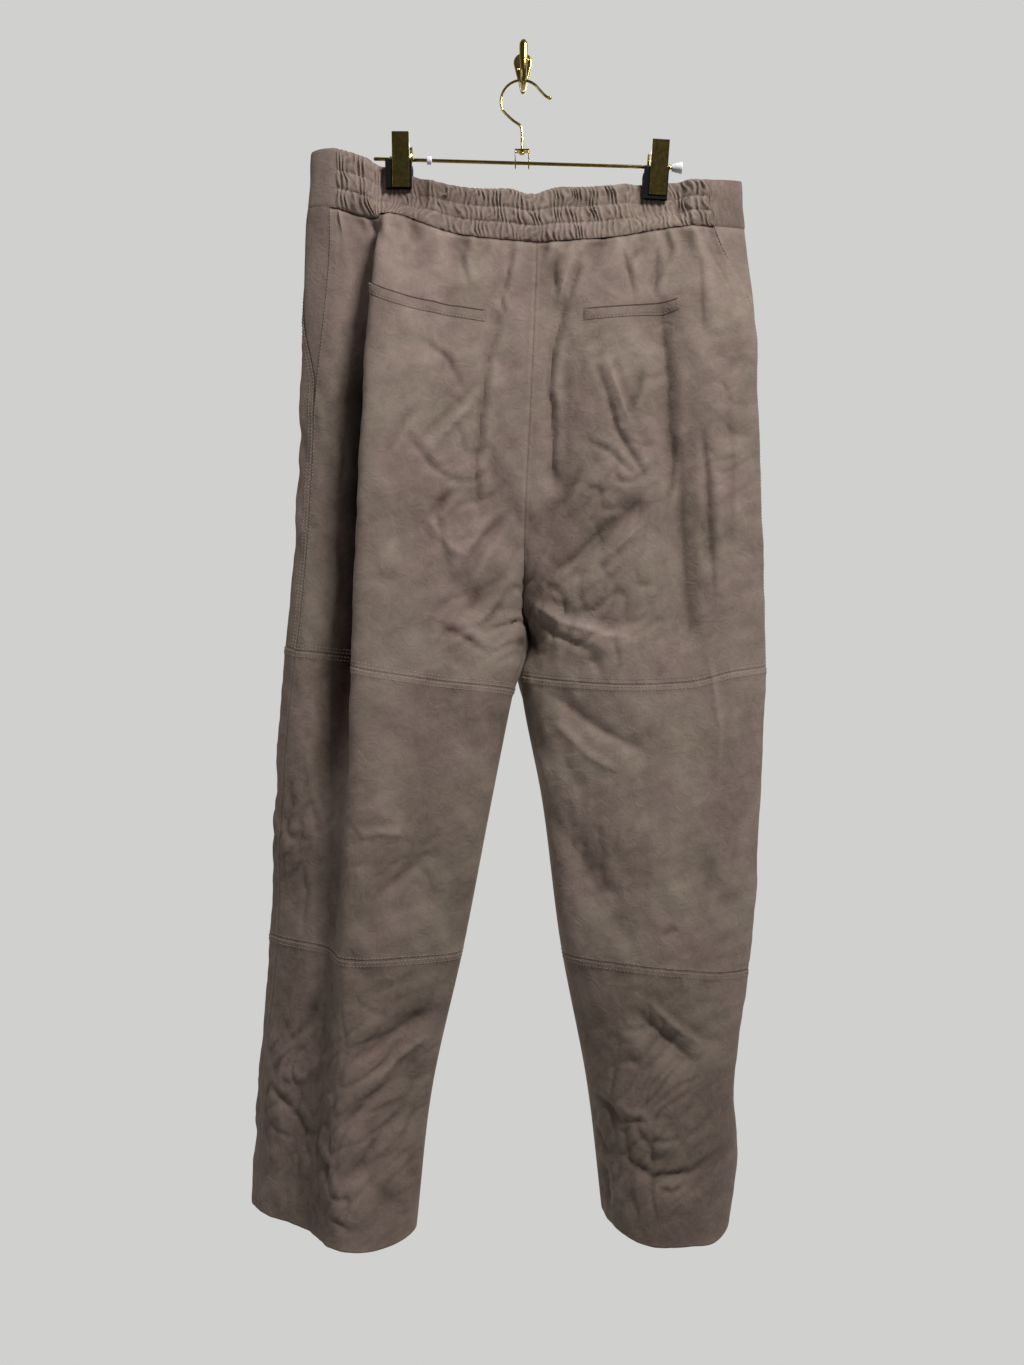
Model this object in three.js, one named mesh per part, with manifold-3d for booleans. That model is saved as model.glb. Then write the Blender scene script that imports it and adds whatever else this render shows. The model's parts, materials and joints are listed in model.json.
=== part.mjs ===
// Suede leather trousers seen from the back, held by a clip hanger on a small wall hook.
// Millimetres, +Z up, +X to the right of someone who looks at the back of the trousers.
// The origin lies on the flat back of the wall hook, and the wall is the plane Y = 0.
// "out" is the distance from the wall (out = -Y) and "down" the distance below the origin (down = -Z).
import * as THREE from 'three';
import { mergeVertices } from 'three/addons/utils/BufferGeometryUtils.js';
import Module from 'manifold-3d';

const wasm = await Module();
wasm.setup();

// Cloth
const LEATHER = 1.4;
const SEAM_GAP = 0.34;
const CENTRE_GAP = 0.4;
const CROTCH_DOWN = 560;
const TURN_START_DOWN = 470;
const TURN_END_DOWN = 556;
const GATHER_DEPTH = 1.5;
const FLAT_BAND = 0.45;
const WELT_GAP = 0.8;
const WELT_THICKNESS = 1.3;
const WELT_HEIGHT = 10;

// Clip hanger
const HANGER_OUT = 38;
const BAR_RADIUS = 1.75;
const BAR_LEFT = -150;
const BAR_RIGHT = 157;
const BAR_LEFT_DOWN = 106.4;
const BAR_SLOPE = 0.03;
const FIT_GAP = 0.35;
const JAW_WIDTH = 17;
const JAW_SHEET = 1.1;
const JAW_TOP = 20;
const JAW_BOTTOM = -31;
const JAW_TOP_OUT = 16.5;
const JAW_BOTTOM_OUT = 9.2;
const FLANGE_SHEET = 0.9;
const FLANGE_TOP = 12;
const FLANGE_BOTTOM = -4.5;
const BOSS_RADIUS = 4.1;
const CLIP_HOLE = 2.6;
const PAD_TOP = -5.2;
const BACK_BAND_OUT = 40;
const FRONT_BAND_OUT = 36;
const PAD_GAP = 0.4;
const PINCH_FLAT = 18;
const PINCH_FADE = 16;
const PINCH_BELOW = 8;
const PINCH_BELOW_FADE = 26;
const WIRE_RADIUS = 1.35;
const HOOK_RADIUS = 21;
const HOOK_X = -1.4;
const HOOK_DOWN = 48.8;
const HEAD_HEIGHT = 1.6;
const BRACKET_DOWN = 98;
const BRACKET_SHEET = 1.2;
const BRACKET_WIDTH = 14.5;
const BRACKET_DEPTH = 7;
const LEG_END_HALF = 1.2;
const LEG_BELOW_BAR = 5.4;

// Swivel hook: its stem, its round part and the ball at its end
const HEAD_RADIUS = 2.7;
const HOOK_FIRST_ANGLE = 222;
const HOOK_LAST_ANGLE = 34;
const HOOK_ARC_STEPS = 8;
const HOOK_BEND_X = 21.6;
const HOOK_BEND_UP = -43.4;
const HOOK_TIP_X = 26.5;
const HOOK_TIP_UP = -45.6;
const BALL_RADIUS = 2;
const BALL_SIDES = 10;
const BALL_RINGS = 8;
const WIRE_STEPS = 34;
const WIRE_SEGMENTS = 4;
const STEM_ROUTE = table(['x', 'up'], [
  [0, -90],
  [0, -81],
  [-0.5, -75.5],
  [-4.5, -71],
]);

// Small parts on the bar
const RING_X = -94;
const RING_RADIUS = 3.9;
const RING_LENGTH = 5;
const CAP_X = 153;
const CAP_LENGTH = 10;
const CAP_START_RADIUS = 3.4;
const CAP_END_RADIUS = 5.8;
const CAP_DOME = 0.5;
const CAP_WALL = 1;
const STOP_FROM_CLIP = 11;
const STOP_RADIUS = 3.1;
const STOP_LENGTH = 1.6;
const SPRING_PLAY = 0.1;
const SPRING_RADIUS = 3.7;
const SPRING_LENGTH = 9;
const LOOP_FROM_JAW = 1.6;
const LOOP_WIRE_RADIUS = 0.7;
const LOOP_STEPS = 16;
const LOOP_SIDES = 6;
const LOOP_ROUTE = table(['out', 'up'], [
  [0, -3.2],
  [2.9, -1.2],
  [2.7, 6],
  [0, 12.5],
  [-2.7, 6],
  [-2.9, -1.2],
]);

// Wall hook
const PLATE_THICKNESS = 2.6;
const PLATE_RADIUS = 9.75;
const PLATE_CENTRE_DOWN = -11.4;
const PLATE_FOOT_DOWN = 18;
const PLATE_FOOT_RADIUS = 2.6;

const BRASS_COLOUR = 0xb79a55;
const LEATHER_COLOUR = 0x7b6d65;
const RUBBER_COLOUR = 0x17181c;
const PLASTIC_COLOUR = 0xe4e8f2;

const ROUND_SIDES = 12;

// Turns rows of numbers under column names into records.
function table(names, rows) {
  return rows.map((row) => Object.fromEntries(names.map((name, index) => [name, row[index]])));
}

// Smooth value of one column at a height, through the rows of a table that run down.
function smoothAt(rows, name, down) {
  const last = rows.length - 1;
  const at = Math.min(Math.max(down, rows[0].down), rows[last].down);
  let low = 0;
  while (low < last - 1 && rows[low + 1].down < at) {
    low += 1;
  }
  const slope = (row) => {
    const before = rows[Math.max(row - 1, 0)];
    const after = rows[Math.min(row + 1, last)];
    return (after[name] - before[name]) / (after.down - before.down);
  };
  const from = rows[low];
  const to = rows[low + 1];
  const span = to.down - from.down;
  return hermite(from[name], slope(low) * span, to[name], slope(low + 1) * span, (at - from.down) / span);
}

function hermite(start, startSlope, end, endSlope, t) {
  const squared = t * t;
  const cubed = squared * t;
  return start * (2 * cubed - 3 * squared + 1) + startSlope * (cubed - 2 * squared + t)
    + end * (3 * squared - 2 * cubed) + endSlope * (cubed - squared);
}

function smoothStep(from, to, value) {
  const t = Math.min(Math.max((value - from) / (to - from), 0), 1);
  return t * t * (3 - 2 * t);
}

// The nine stations round each half of the garment, from the centre back round the side to the centre front.
// Below the crotch the first and the last one are the same inseam.
const CENTRE = 0;
const SIDE = 4;
const FRONT = 8;

// Centre back and centre front seams, from the waist to the crotch.
const BACK_SEAM = table(['down', 'x', 'out'], [
  [100, 13, 51],
  [165, 13, 53],
  [205, 13, 57],
  [260, 11, 62],
  [350, 7, 66],
  [450, 2, 61],
  [520, 0, 49],
  [560, -1, 36],
]);
const FRONT_SEAM = table(['down', 'x', 'out'], [
  [100, 13, 29],
  [205, 12, 24],
  [350, 6, 15],
  [450, 2, 14],
  [520, 0, 21],
  [560, -1, 36],
]);

// Inseams, from the crotch to the hem.
const INSEAM = {
  left: table(['down', 'x', 'out'], [
    [560, -1, 36],
    [585, 3, 41],
    [605, -1, 44],
    [630, -8, 46],
    [750, -32, 48],
    [890, -59, 50],
    [1030, -90, 54],
    [1165, -105, 60],
  ]),
  right: table(['down', 'x', 'out'], [
    [560, -1, 36],
    [585, 7, 33],
    [605, 3, 31],
    [630, -3, 30],
    [750, 19, 36],
    [890, 37, 38],
    [1030, 63.5, 34],
    [1165, 79.5, 27],
  ]),
};

// Stations between the seams. The left half has a deep fold: its crease stands out over the valley behind it.
const LINES = {
  left: table(
    ['down', 'midX', 'midOut', 'creaseX', 'creaseOut', 'valleyX', 'valleyOut', 'sideX', 'sideOut',
      'edgeX', 'edgeOut', 'turnX', 'turnOut', 'lapX', 'lapOut'],
    [
      [100, -62, 46, -132, 50, -152, 54, -190, 56, -211, 44, -186, 26, -110, 30],
      [150, -62, 47, -136, 52, -150, 54, -191, 55, -214.5, 42, -188, 25, -110, 29],
      [172, -64, 51, -140, 58, -146, 53, -192, 54, -217.5, 41, -190, 24, -110, 27],
      [200, -66, 59, -142, 66, -138, 54, -192, 52, -219, 39, -192, 22, -110, 24],
      [260, -68, 71, -149, 76, -143, 54, -198, 48, -221.5, 35, -196, 18, -110, 19],
      [350, -72, 79, -154, 84, -147, 56, -208, 44, -224.5, 30, -198, 13, -110, 13],
      [450, -76, 79, -159, 87, -152, 56, -213, 42, -229, 28, -204, 12, -112, 11],
      [560, -82, 76, -163, 89, -157, 57, -222, 42, -237, 27, -212, 12, -114, 11],
      [630, -86, 78, -165, 91, -161, 60, -231, 42, -244, 27, -218, 12, -120, 11],
      [750, -98, 80, -167, 93, -176, 68, -241, 40, -251, 26, -226, 12, -136, 11],
      [890, -113, 80, -171, 94, -190, 68, -246, 38, -256, 25, -230, 12, -156, 11],
      [1030, -130, 84, -173, 98, -203, 68, -261, 34, -268, 22, -240, 12, -172, 11],
      [1165, -138, 90, -176, 102, -210, 68, -270, 29, -277, 19, -248, 12, -182, 11],
    ],
  ),
  right: table(
    ['down', 'midX', 'midOut', 'creaseX', 'creaseOut', 'valleyX', 'valleyOut', 'sideX', 'sideOut',
      'edgeX', 'edgeOut', 'turnX', 'turnOut', 'lapX', 'lapOut'],
    [
      [100, 78, 47, 132, 46, 162, 49, 184, 48, 218.5, 37, 192, 27, 120, 30],
      [150, 80, 48, 134, 47, 163, 49, 184, 48, 219.5, 36, 193, 26, 120, 29],
      [172, 82, 51, 134, 50, 166, 51, 187, 49, 221.5, 36, 194, 25, 120, 27],
      [200, 85, 60, 135, 54, 170, 56, 197, 50, 225, 35, 197, 23, 120, 24],
      [260, 90, 68, 139, 59, 180, 62, 228, 44, 233, 32, 206, 18, 120, 19],
      [350, 84, 71, 149, 64, 190, 65, 234, 39, 232, 27, 208, 13, 120, 13],
      [450, 82, 73, 156, 67, 196, 66, 238, 38, 236, 26, 212, 12, 122, 11],
      [560, 82, 72, 160, 72, 200, 68, 241, 38, 239, 26, 214, 12, 124, 11],
      [630, 82, 74, 161, 74, 202, 69, 242, 38, 240, 26, 214, 12, 126, 11],
      [750, 92, 79, 161, 79, 200, 72, 236, 39, 234, 27, 208, 12, 130, 11],
      [890, 100, 84, 158, 86, 194, 74, 227, 40, 225, 28, 200, 12, 134, 11],
      [1030, 112, 88, 156, 90, 186, 78, 209, 44, 207, 31, 184, 12, 138, 11],
      [1100, 115, 89, 156, 91, 186, 79, 212, 46, 210, 33, 186, 12, 138, 11],
      [1165, 118, 90, 155, 93, 182, 82, 202, 50, 200, 37, 178, 12, 138, 11],
    ],
  ),
};
const LINE_NAMES = ['mid', 'crease', 'valley', 'side', 'edge', 'turn', 'lap'];
const TOWARDS_SIDE = { left: -1, right: 1 };

// How far down each cut edge or seam lies at the nine stations: centre, mid, crease, valley, side,
// edge, turn, lap and front.
const LEVELS = {
  left: {
    waistTop: [145.5, 138.5, 119, 113.5, 104, 103, 105, 126, 149],
    waistSeam: [196.5, 188, 168, 171, 161.5, 158, 160, 175, 196],
    crotch: [560, 560, 560, 560, 560, 560, 560, 560, 560],
    thighSeam: [638, 628, 614, 606, 598, 593, 593, 608, 638],
    kneeSeam: [894, 895, 892, 888, 884, 883, 883, 888, 894],
    hem: [1161, 1170, 1164.5, 1163, 1160, 1160, 1159, 1160, 1161],
  },
  right: {
    waistTop: [145.5, 137.5, 132.5, 131.5, 132, 129, 129.5, 134, 149],
    waistSeam: [196.5, 192.5, 182, 178, 178.5, 176.5, 177, 183, 196],
    crotch: [560, 560, 560, 560, 560, 560, 560, 560, 560],
    thighSeam: [622, 632, 630, 620, 614, 613, 613, 619, 622],
    kneeSeam: [898, 901, 906, 911, 914, 914, 914, 906, 898],
    hem: [1159, 1166, 1165, 1167, 1161, 1160, 1160, 1160, 1159],
  },
};

// Largest folds of the back: a soft trough (depth below nought) or ridge along a line on the cloth.
const FOLDS = table(['fromX', 'fromDown', 'toX', 'toDown', 'halfWidth', 'rise'], [
  [-22, 270, -44, 470, 13, -5],
  [36, 260, 27, 440, 13, -4.5],
  [135, 262, 142, 440, 13, -6],
  [154, 400, 159, 590, 15, -6],
  [112, 458, 42, 530, 14, -5],
  [-16, 520, -58, 565, 13, -4],
  [30, 590, 104, 592, 15, 5],
  [22, 640, 120, 700, 16, -5],
  [24, 750, 100, 880, 24, -6],
  [-88, 948, -158, 992, 16, -5],
  [-115, 1040, -158, 1098, 16, -5],
  [108, 950, 160, 994, 16, -5],
  [98, 1084, 170, 1100, 16, -5],
]);

// The two clips: place along the bar, tilt, pad.
const CLIPS = table(['side', 'x', 'tilt', 'padWidth', 'padShift', 'padDrop', 'loopSide'], [
  ['left', -121.5, 0, 26, -2.5, 0, 1],
  ['right', 134.5, 0.056, 24, -2, 3.4, -1],
]);

function barDown(x) {
  return BAR_LEFT_DOWN + BAR_SLOPE * (x - BAR_LEFT);
}

// Share by which a clip presses the band flat: 1 between its jaws, 0 away from it.
function pinchAt(x, down) {
  let share = 0;
  for (const clip of CLIPS) {
    const bottom = barDown(clip.x) - JAW_BOTTOM + clip.padDrop + PINCH_BELOW;
    const across = 1 - smoothStep(PINCH_FLAT, PINCH_FLAT + PINCH_FADE, Math.abs(x - clip.x - clip.padShift / 2));
    const along = 1 - smoothStep(bottom, bottom + PINCH_BELOW_FADE, down);
    share = Math.max(share, across * along);
  }
  return share;
}

// Share by which the end tangents have turned from across the body to round the leg.
function turnAt(down) {
  return smoothStep(TURN_START_DOWN, TURN_END_DOWN, down);
}

function stationPoints(half, down, centreGap) {
  const towards = TOWARDS_SIDE[half];
  const legRows = INSEAM[half];
  const backRows = down < CROTCH_DOWN ? BACK_SEAM : legRows;
  const frontRows = down < CROTCH_DOWN ? FRONT_SEAM : legRows;
  const shift = towards * centreGap / 2;
  const points = [new THREE.Vector2(smoothAt(backRows, 'x', down) + shift, smoothAt(backRows, 'out', down))];
  for (const name of LINE_NAMES) {
    const rows = LINES[half];
    points.push(new THREE.Vector2(smoothAt(rows, `${name}X`, down), smoothAt(rows, `${name}Out`, down)));
  }
  points.push(new THREE.Vector2(smoothAt(frontRows, 'x', down) + shift, smoothAt(frontRows, 'out', down)));
  return points;
}

// Unit-speed slopes of the section curve at each station.
function stationSlopes(points, half, down) {
  const towards = TOWARDS_SIDE[half];
  const angle = turnAt(down) * Math.PI / 2;
  const slopes = [new THREE.Vector2(towards * Math.cos(angle), Math.sin(angle))];
  for (let index = 1; index < FRONT; index += 1) {
    const before = points[index].clone().sub(points[index - 1]);
    const after = points[index + 1].clone().sub(points[index]);
    const beforeLength = before.length();
    const afterLength = after.length();
    const slope = before.multiplyScalar(afterLength / beforeLength);
    slope.add(after.multiplyScalar(beforeLength / afterLength));
    slopes.push(slope.divideScalar(beforeLength + afterLength));
  }
  slopes.push(new THREE.Vector2(-towards * Math.cos(angle), Math.sin(angle)));
  return slopes;
}

// Height of the soft folds at a place on the back, nought at the side seam and on the inseam.
function foldRise(x, down, station) {
  if (station >= SIDE) {
    return 0;
  }
  let rise = 0;
  for (const fold of FOLDS) {
    const alongX = fold.toX - fold.fromX;
    const alongDown = fold.toDown - fold.fromDown;
    const length = Math.hypot(alongX, alongDown);
    const along = ((x - fold.fromX) * alongX + (down - fold.fromDown) * alongDown) / length;
    const across = ((x - fold.fromX) * alongDown - (down - fold.fromDown) * alongX) / length;
    const inside = smoothStep(-fold.halfWidth, fold.halfWidth, along)
      * (1 - smoothStep(length - fold.halfWidth, length + fold.halfWidth, along));
    rise += fold.rise * inside * Math.exp(-((across / fold.halfWidth) ** 2));
  }
  const fadeSide = 1 - smoothStep(SIDE - 1.2, SIDE - 0.2, station);
  const fadeInseam = 1 - turnAt(down) * (1 - smoothStep(0, 0.6, station));
  return rise * fadeSide * fadeInseam;
}

// A place on the outer side of the cloth: its section point, its outward direction and its slope.
function clothPoint(half, station, down, centreGap = CENTRE_GAP) {
  const points = stationPoints(half, down, centreGap);
  const slopes = stationSlopes(points, half, down);
  const place = (at) => {
    const low = Math.min(Math.max(Math.floor(at), 0), FRONT - 1);
    const from = points[low];
    const to = points[low + 1];
    const chord = from.distanceTo(to);
    const t = at - low;
    return new THREE.Vector2(
      hermite(from.x, slopes[low].x * chord, to.x, slopes[low + 1].x * chord, t),
      hermite(from.y, slopes[low].y * chord, to.y, slopes[low + 1].y * chord, t),
    );
  };
  const step = 0.02;
  const ahead = place(Math.min(station + step, FRONT));
  const behind = place(Math.max(station - step, CENTRE));
  const slope = ahead.sub(behind).normalize();
  const outward = new THREE.Vector2(-slope.y, slope.x).multiplyScalar(TOWARDS_SIDE[half]);
  const point = place(station);
  const pinch = pinchAt(point.x, down);
  const pinchedOut = station < SIDE ? BACK_BAND_OUT : FRONT_BAND_OUT;
  point.y += (pinchedOut - point.y) * pinch;
  outward.lerp(new THREE.Vector2(0, station < SIDE ? 1 : -1), pinch).normalize();
  point.addScaledVector(outward, foldRise(point.x, down, station));
  return { point, outward, slope };
}

// How far down a seam lies at a station that may fall between two of the nine.
function levelAt(half, level, station) {
  const heights = LEVELS[half][level];
  const low = Math.min(Math.floor(station), FRONT - 1);
  return THREE.MathUtils.lerp(heights[low], heights[low + 1], station - low);
}

// Rows of a piece: from one level to the next in equal steps, kept half a gap clear of both ends.
function rowHeights(half, station, levels, counts) {
  const heights = [];
  for (let span = 0; span < counts.length; span += 1) {
    const top = levelAt(half, levels[span], station);
    const bottom = levelAt(half, levels[span + 1], station);
    for (let row = span === 0 ? 0 : 1; row <= counts[span]; row += 1) {
      heights.push(THREE.MathUtils.lerp(top, bottom, row / counts[span]));
    }
  }
  heights[0] += SEAM_GAP / 2;
  heights[heights.length - 1] -= SEAM_GAP / 2;
  return heights;
}

function toSpace(point, down) {
  return new THREE.Vector3(point.x, -point.y, -down);
}

// Closed body from a grid of outer points and a grid of inner points behind them.
function wallGeometry(outer, inner) {
  const rows = outer.length;
  const columns = outer[0].length;
  const positions = [];
  for (const grid of [outer, inner]) {
    for (const line of grid) {
      for (const point of line) {
        positions.push(point.x, point.y, point.z);
      }
    }
  }
  const front = (row, column) => row * columns + column;
  const back = (row, column) => rows * columns + row * columns + column;
  const triangles = [];
  const quad = (a, b, c, d) => triangles.push(a, b, c, a, c, d);
  for (let row = 0; row < rows - 1; row += 1) {
    for (let column = 0; column < columns - 1; column += 1) {
      quad(front(row, column), front(row + 1, column), front(row + 1, column + 1), front(row, column + 1));
      triangles.push(back(row, column), back(row + 1, column + 1), back(row + 1, column));
      triangles.push(back(row, column), back(row, column + 1), back(row + 1, column + 1));
    }
  }
  for (let row = 0; row < rows - 1; row += 1) {
    const end = columns - 1;
    quad(front(row, 0), back(row, 0), back(row + 1, 0), front(row + 1, 0));
    quad(front(row, end), front(row + 1, end), back(row + 1, end), back(row, end));
  }
  for (let column = 0; column < columns - 1; column += 1) {
    const end = rows - 1;
    quad(front(0, column), front(0, column + 1), back(0, column + 1), back(0, column));
    quad(front(end, column), back(end, column), back(end, column + 1), front(end, column + 1));
  }
  return closedGeometry(positions, triangles);
}

// Indexed geometry with its faces turned out.
function closedGeometry(positions, triangles) {
  const corner = (index) => new THREE.Vector3().fromArray(positions, 3 * index);
  let volume = 0;
  for (let index = 0; index < triangles.length; index += 3) {
    const [a, b, c] = triangles.slice(index, index + 3).map(corner);
    volume += a.dot(b.cross(c));
  }
  const facing = volume > 0 ? triangles : triangles.slice().reverse();
  const geometry = new THREE.BufferGeometry();
  geometry.setAttribute('position', new THREE.Float32BufferAttribute(positions, 3));
  geometry.setIndex(facing);
  geometry.computeVertexNormals();
  return geometry;
}

// Stations of a piece's columns, with a count of steps for each stretch between two stations.
function columnStations(first, counts) {
  const stations = [first];
  counts.forEach((count, span) => {
    for (let step = 1; step <= count; step += 1) {
      stations.push(first + span + step / count);
    }
  });
  return stations;
}

// One leather panel: columns of stations, rows between levels, with its ends trimmed at the seams.
function panelGrids(half, columns, levels, counts, rowStations) {
  const outer = [];
  const inner = [];
  const rowCount = counts.reduce((sum, count) => sum + count, 0);
  for (let row = 0; row <= rowCount; row += 1) {
    const outerLine = [];
    const innerLine = [];
    const stations = rowStations ? rowStations(columns, row) : columns;
    stations.forEach((station, column) => {
      const down = rowHeights(half, station, levels, counts)[row];
      const place = clothPoint(half, station, down);
      const atFirst = column === 0;
      const atLast = column === stations.length - 1;
      const closed = station === CENTRE || station === FRONT ? turnAt(down) : 1;
      const trim = (atFirst ? 1 : 0) - (atLast ? 1 : 0);
      place.point.addScaledVector(place.slope, trim * closed * SEAM_GAP / 2);
      outerLine.push(toSpace(place.point, down));
      innerLine.push(toSpace(place.point.clone().addScaledVector(place.outward, -LEATHER), down));
    });
    outer.push(outerLine);
    inner.push(innerLine);
  }
  return { outer, inner };
}

function panelGeometry(half, columns, levels, counts, rowStations) {
  const grids = panelGrids(half, columns, levels, counts, rowStations);
  return wallGeometry(grids.outer, grids.inner);
}

const BACK_STEPS = [5, 7, 3, 5];
const FRONT_STEPS = [2, 3, 3, 3];
const HIP_ROWS = [9, 3];
const THIGH_ROWS = [6];
const SHIN_ROWS = [8];
const HIP_LEVELS = ['waistSeam', 'crotch', 'thighSeam'];

// The slant pocket mouth: station where it crosses each of the top rows of the front hip panel.
const MOUTH_STATIONS = [5.65, 5.35, 5.06, 4.6, 4.05];

function frontHipStations(columns, row) {
  const start = MOUTH_STATIONS[row] ?? SIDE;
  return columns.map((station) => THREE.MathUtils.mapLinear(station, SIDE, FRONT, start, FRONT));
}

function facingStations(columns, row) {
  return columns.map((share) => THREE.MathUtils.lerp(SIDE, MOUTH_STATIONS[row], share));
}

// The facing reaches down to the last row that the pocket mouth crosses.
function facingGeometry(half) {
  const grids = panelGrids(half, [0, 0.35, 0.7, 1], HIP_LEVELS, HIP_ROWS, (columns, row) => (
    facingStations(columns, Math.min(row, MOUTH_STATIONS.length - 1))
  ));
  const kept = MOUTH_STATIONS.length;
  const lift = new THREE.Vector3(0, 0, SEAM_GAP);
  const outer = grids.outer.slice(0, kept);
  const inner = grids.inner.slice(0, kept);
  for (const line of [outer[kept - 1], inner[kept - 1]]) {
    line.forEach((point) => point.add(lift));
  }
  return wallGeometry(outer, inner);
}

// A welt lies on the back hip panel: its points are on the panel's own column lines, moved out.
const WELTS = {
  left: { firstColumn: 3, lastColumn: 12, startDown: 272.5, endDown: 248.5 },
  right: { firstColumn: 3, lastColumn: 13, startDown: 265.5, endDown: 252.5 },
};

function weltGeometry(half) {
  const grids = panelGrids(half, columnStations(CENTRE, BACK_STEPS), HIP_LEVELS, HIP_ROWS);
  const welt = WELTS[half];
  const steps = welt.lastColumn - welt.firstColumn;
  const outer = [[], []];
  const inner = [[], []];
  for (let step = 0; step <= steps; step += 1) {
    const column = welt.firstColumn + step;
    const top = THREE.MathUtils.lerp(welt.startDown, welt.endDown, step / steps);
    [top, top + WELT_HEIGHT].forEach((down, row) => {
      const point = onColumn(grids.outer, column, down);
      const behind = onColumn(grids.inner, column, down);
      const outward = point.clone().sub(behind).normalize();
      inner[row].push(point.clone().addScaledVector(outward, WELT_GAP));
      outer[row].push(point.clone().addScaledVector(outward, WELT_GAP + WELT_THICKNESS));
    });
  }
  return wallGeometry(outer, inner);
}

// The point of one column of a panel's grid at a height.
function onColumn(grid, column, down) {
  let row = 0;
  while (row < grid.length - 2 && -grid[row + 1][column].z < down) {
    row += 1;
  }
  const above = grid[row][column];
  const below = grid[row + 1][column];
  return above.clone().lerp(below, (down + above.z) / (above.z - below.z));
}

// The waistband: gathered on the back between its side joins, flat where it wraps round the front.
const BAND_BACK_STEPS = { left: [29, 29, 6, 16], right: [26, 21, 12, 9] };
const BAND_FRONT_STEPS = { left: [3, 4, 10, 11], right: [3, 4, 10, 10] };
const BAND_ROWS = [0, 0.36, 0.68, 1];

function bandColumn(half, station, trim, relief) {
  const top = levelAt(half, 'waistTop', station) + (station < SIDE ? 0 : 0.5);
  const bottom = levelAt(half, 'waistSeam', station) - SEAM_GAP / 2;
  return BAND_ROWS.map((share) => {
    const down = THREE.MathUtils.lerp(top, bottom, share);
    const place = clothPoint(half, station, down, 0);
    place.point.addScaledVector(place.slope, trim * SEAM_GAP / 2);
    const outerPoint = place.point.clone().addScaledVector(place.outward, relief);
    const innerPoint = place.point.clone().addScaledVector(place.outward, -LEATHER);
    return { outer: toSpace(outerPoint, down), inner: toSpace(innerPoint, down) };
  });
}

// How deep each gather is: every other column stands out, and the depth varies along the band.
function gatherRelief(half, station, column) {
  const flatFrom = half === 'left' ? SIDE - FLAT_BAND : SIDE;
  const share = 1 - smoothStep(flatFrom - 0.2, flatFrom, station);
  const uneven = 0.72 + 0.28 * Math.sin(1.7 * column);
  return column % 2 === 0 ? 0 : GATHER_DEPTH * uneven * share;
}

function bandGeometry(columns) {
  const rows = BAND_ROWS.map((share, row) => row);
  const outer = rows.map((row) => columns.map((column) => column[row].outer));
  const inner = rows.map((row) => columns.map((column) => column[row].inner));
  return wallGeometry(outer, inner);
}

function backBandGeometry() {
  const leftStations = columnStations(CENTRE, BAND_BACK_STEPS.left).reverse();
  const rightStations = columnStations(CENTRE, BAND_BACK_STEPS.right).slice(1);
  const columns = leftStations.map((station, index) => (
    bandColumn('left', station, index === 0 ? -1 : 0, gatherRelief('left', station, index))
  ));
  const last = rightStations.length - 1;
  rightStations.forEach((station, index) => {
    const relief = gatherRelief('right', station, leftStations.length + index);
    columns.push(bandColumn('right', station, index === last ? -1 : 0, relief));
  });
  return bandGeometry(columns);
}

function frontBandGeometry() {
  const leftStations = columnStations(SIDE, BAND_FRONT_STEPS.left);
  const rightStations = columnStations(SIDE, BAND_FRONT_STEPS.right).reverse().slice(1);
  const columns = leftStations.map((station, index) => bandColumn('left', station, index === 0 ? 1 : 0, 0));
  const last = rightStations.length - 1;
  rightStations.forEach((station, index) => {
    columns.push(bandColumn('right', station, index === last ? 1 : 0, 0));
  });
  return bandGeometry(columns);
}

const group = new THREE.Group();

function material(colour, roughness, metalness) {
  return new THREE.MeshStandardMaterial({ color: colour, roughness, metalness });
}

const leather = () => material(LEATHER_COLOUR, 0.9, 0);
const brass = () => material(BRASS_COLOUR, 0.2, 1);
const rubber = () => material(RUBBER_COLOUR, 0.7, 0);
const plastic = () => material(PLASTIC_COLOUR, 0.35, 0);

function addMesh(parent, name, geometry, meshMaterial) {
  const mesh = new THREE.Mesh(geometry, meshMaterial);
  mesh.name = name;
  parent.add(mesh);
  return mesh;
}

function addCloth() {
  addMesh(group, 'waistband_back', backBandGeometry(), leather());
  addMesh(group, 'waistband_front', frontBandGeometry(), leather());
  const backColumns = columnStations(CENTRE, BACK_STEPS);
  const frontColumns = columnStations(SIDE, FRONT_STEPS);
  for (const half of ['left', 'right']) {
    const back = (levels, counts) => panelGeometry(half, backColumns, levels, counts);
    const front = (levels, counts) => panelGeometry(half, frontColumns, levels, counts);
    const frontHip = panelGeometry(half, frontColumns, HIP_LEVELS, HIP_ROWS, frontHipStations);
    addMesh(group, `back_hip_${half}`, back(HIP_LEVELS, HIP_ROWS), leather());
    addMesh(group, `front_hip_${half}`, frontHip, leather());
    addMesh(group, `pocket_facing_${half}`, facingGeometry(half), leather());
    addMesh(group, `pocket_welt_${half}`, weltGeometry(half), leather());
    addMesh(group, `back_thigh_${half}`, back(['thighSeam', 'kneeSeam'], THIGH_ROWS), leather());
    addMesh(group, `front_thigh_${half}`, front(['thighSeam', 'kneeSeam'], THIGH_ROWS), leather());
    addMesh(group, `back_shin_${half}`, back(['kneeSeam', 'hem'], SHIN_ROWS), leather());
    addMesh(group, `front_shin_${half}`, front(['kneeSeam', 'hem'], SHIN_ROWS), leather());
  }
}

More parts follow.
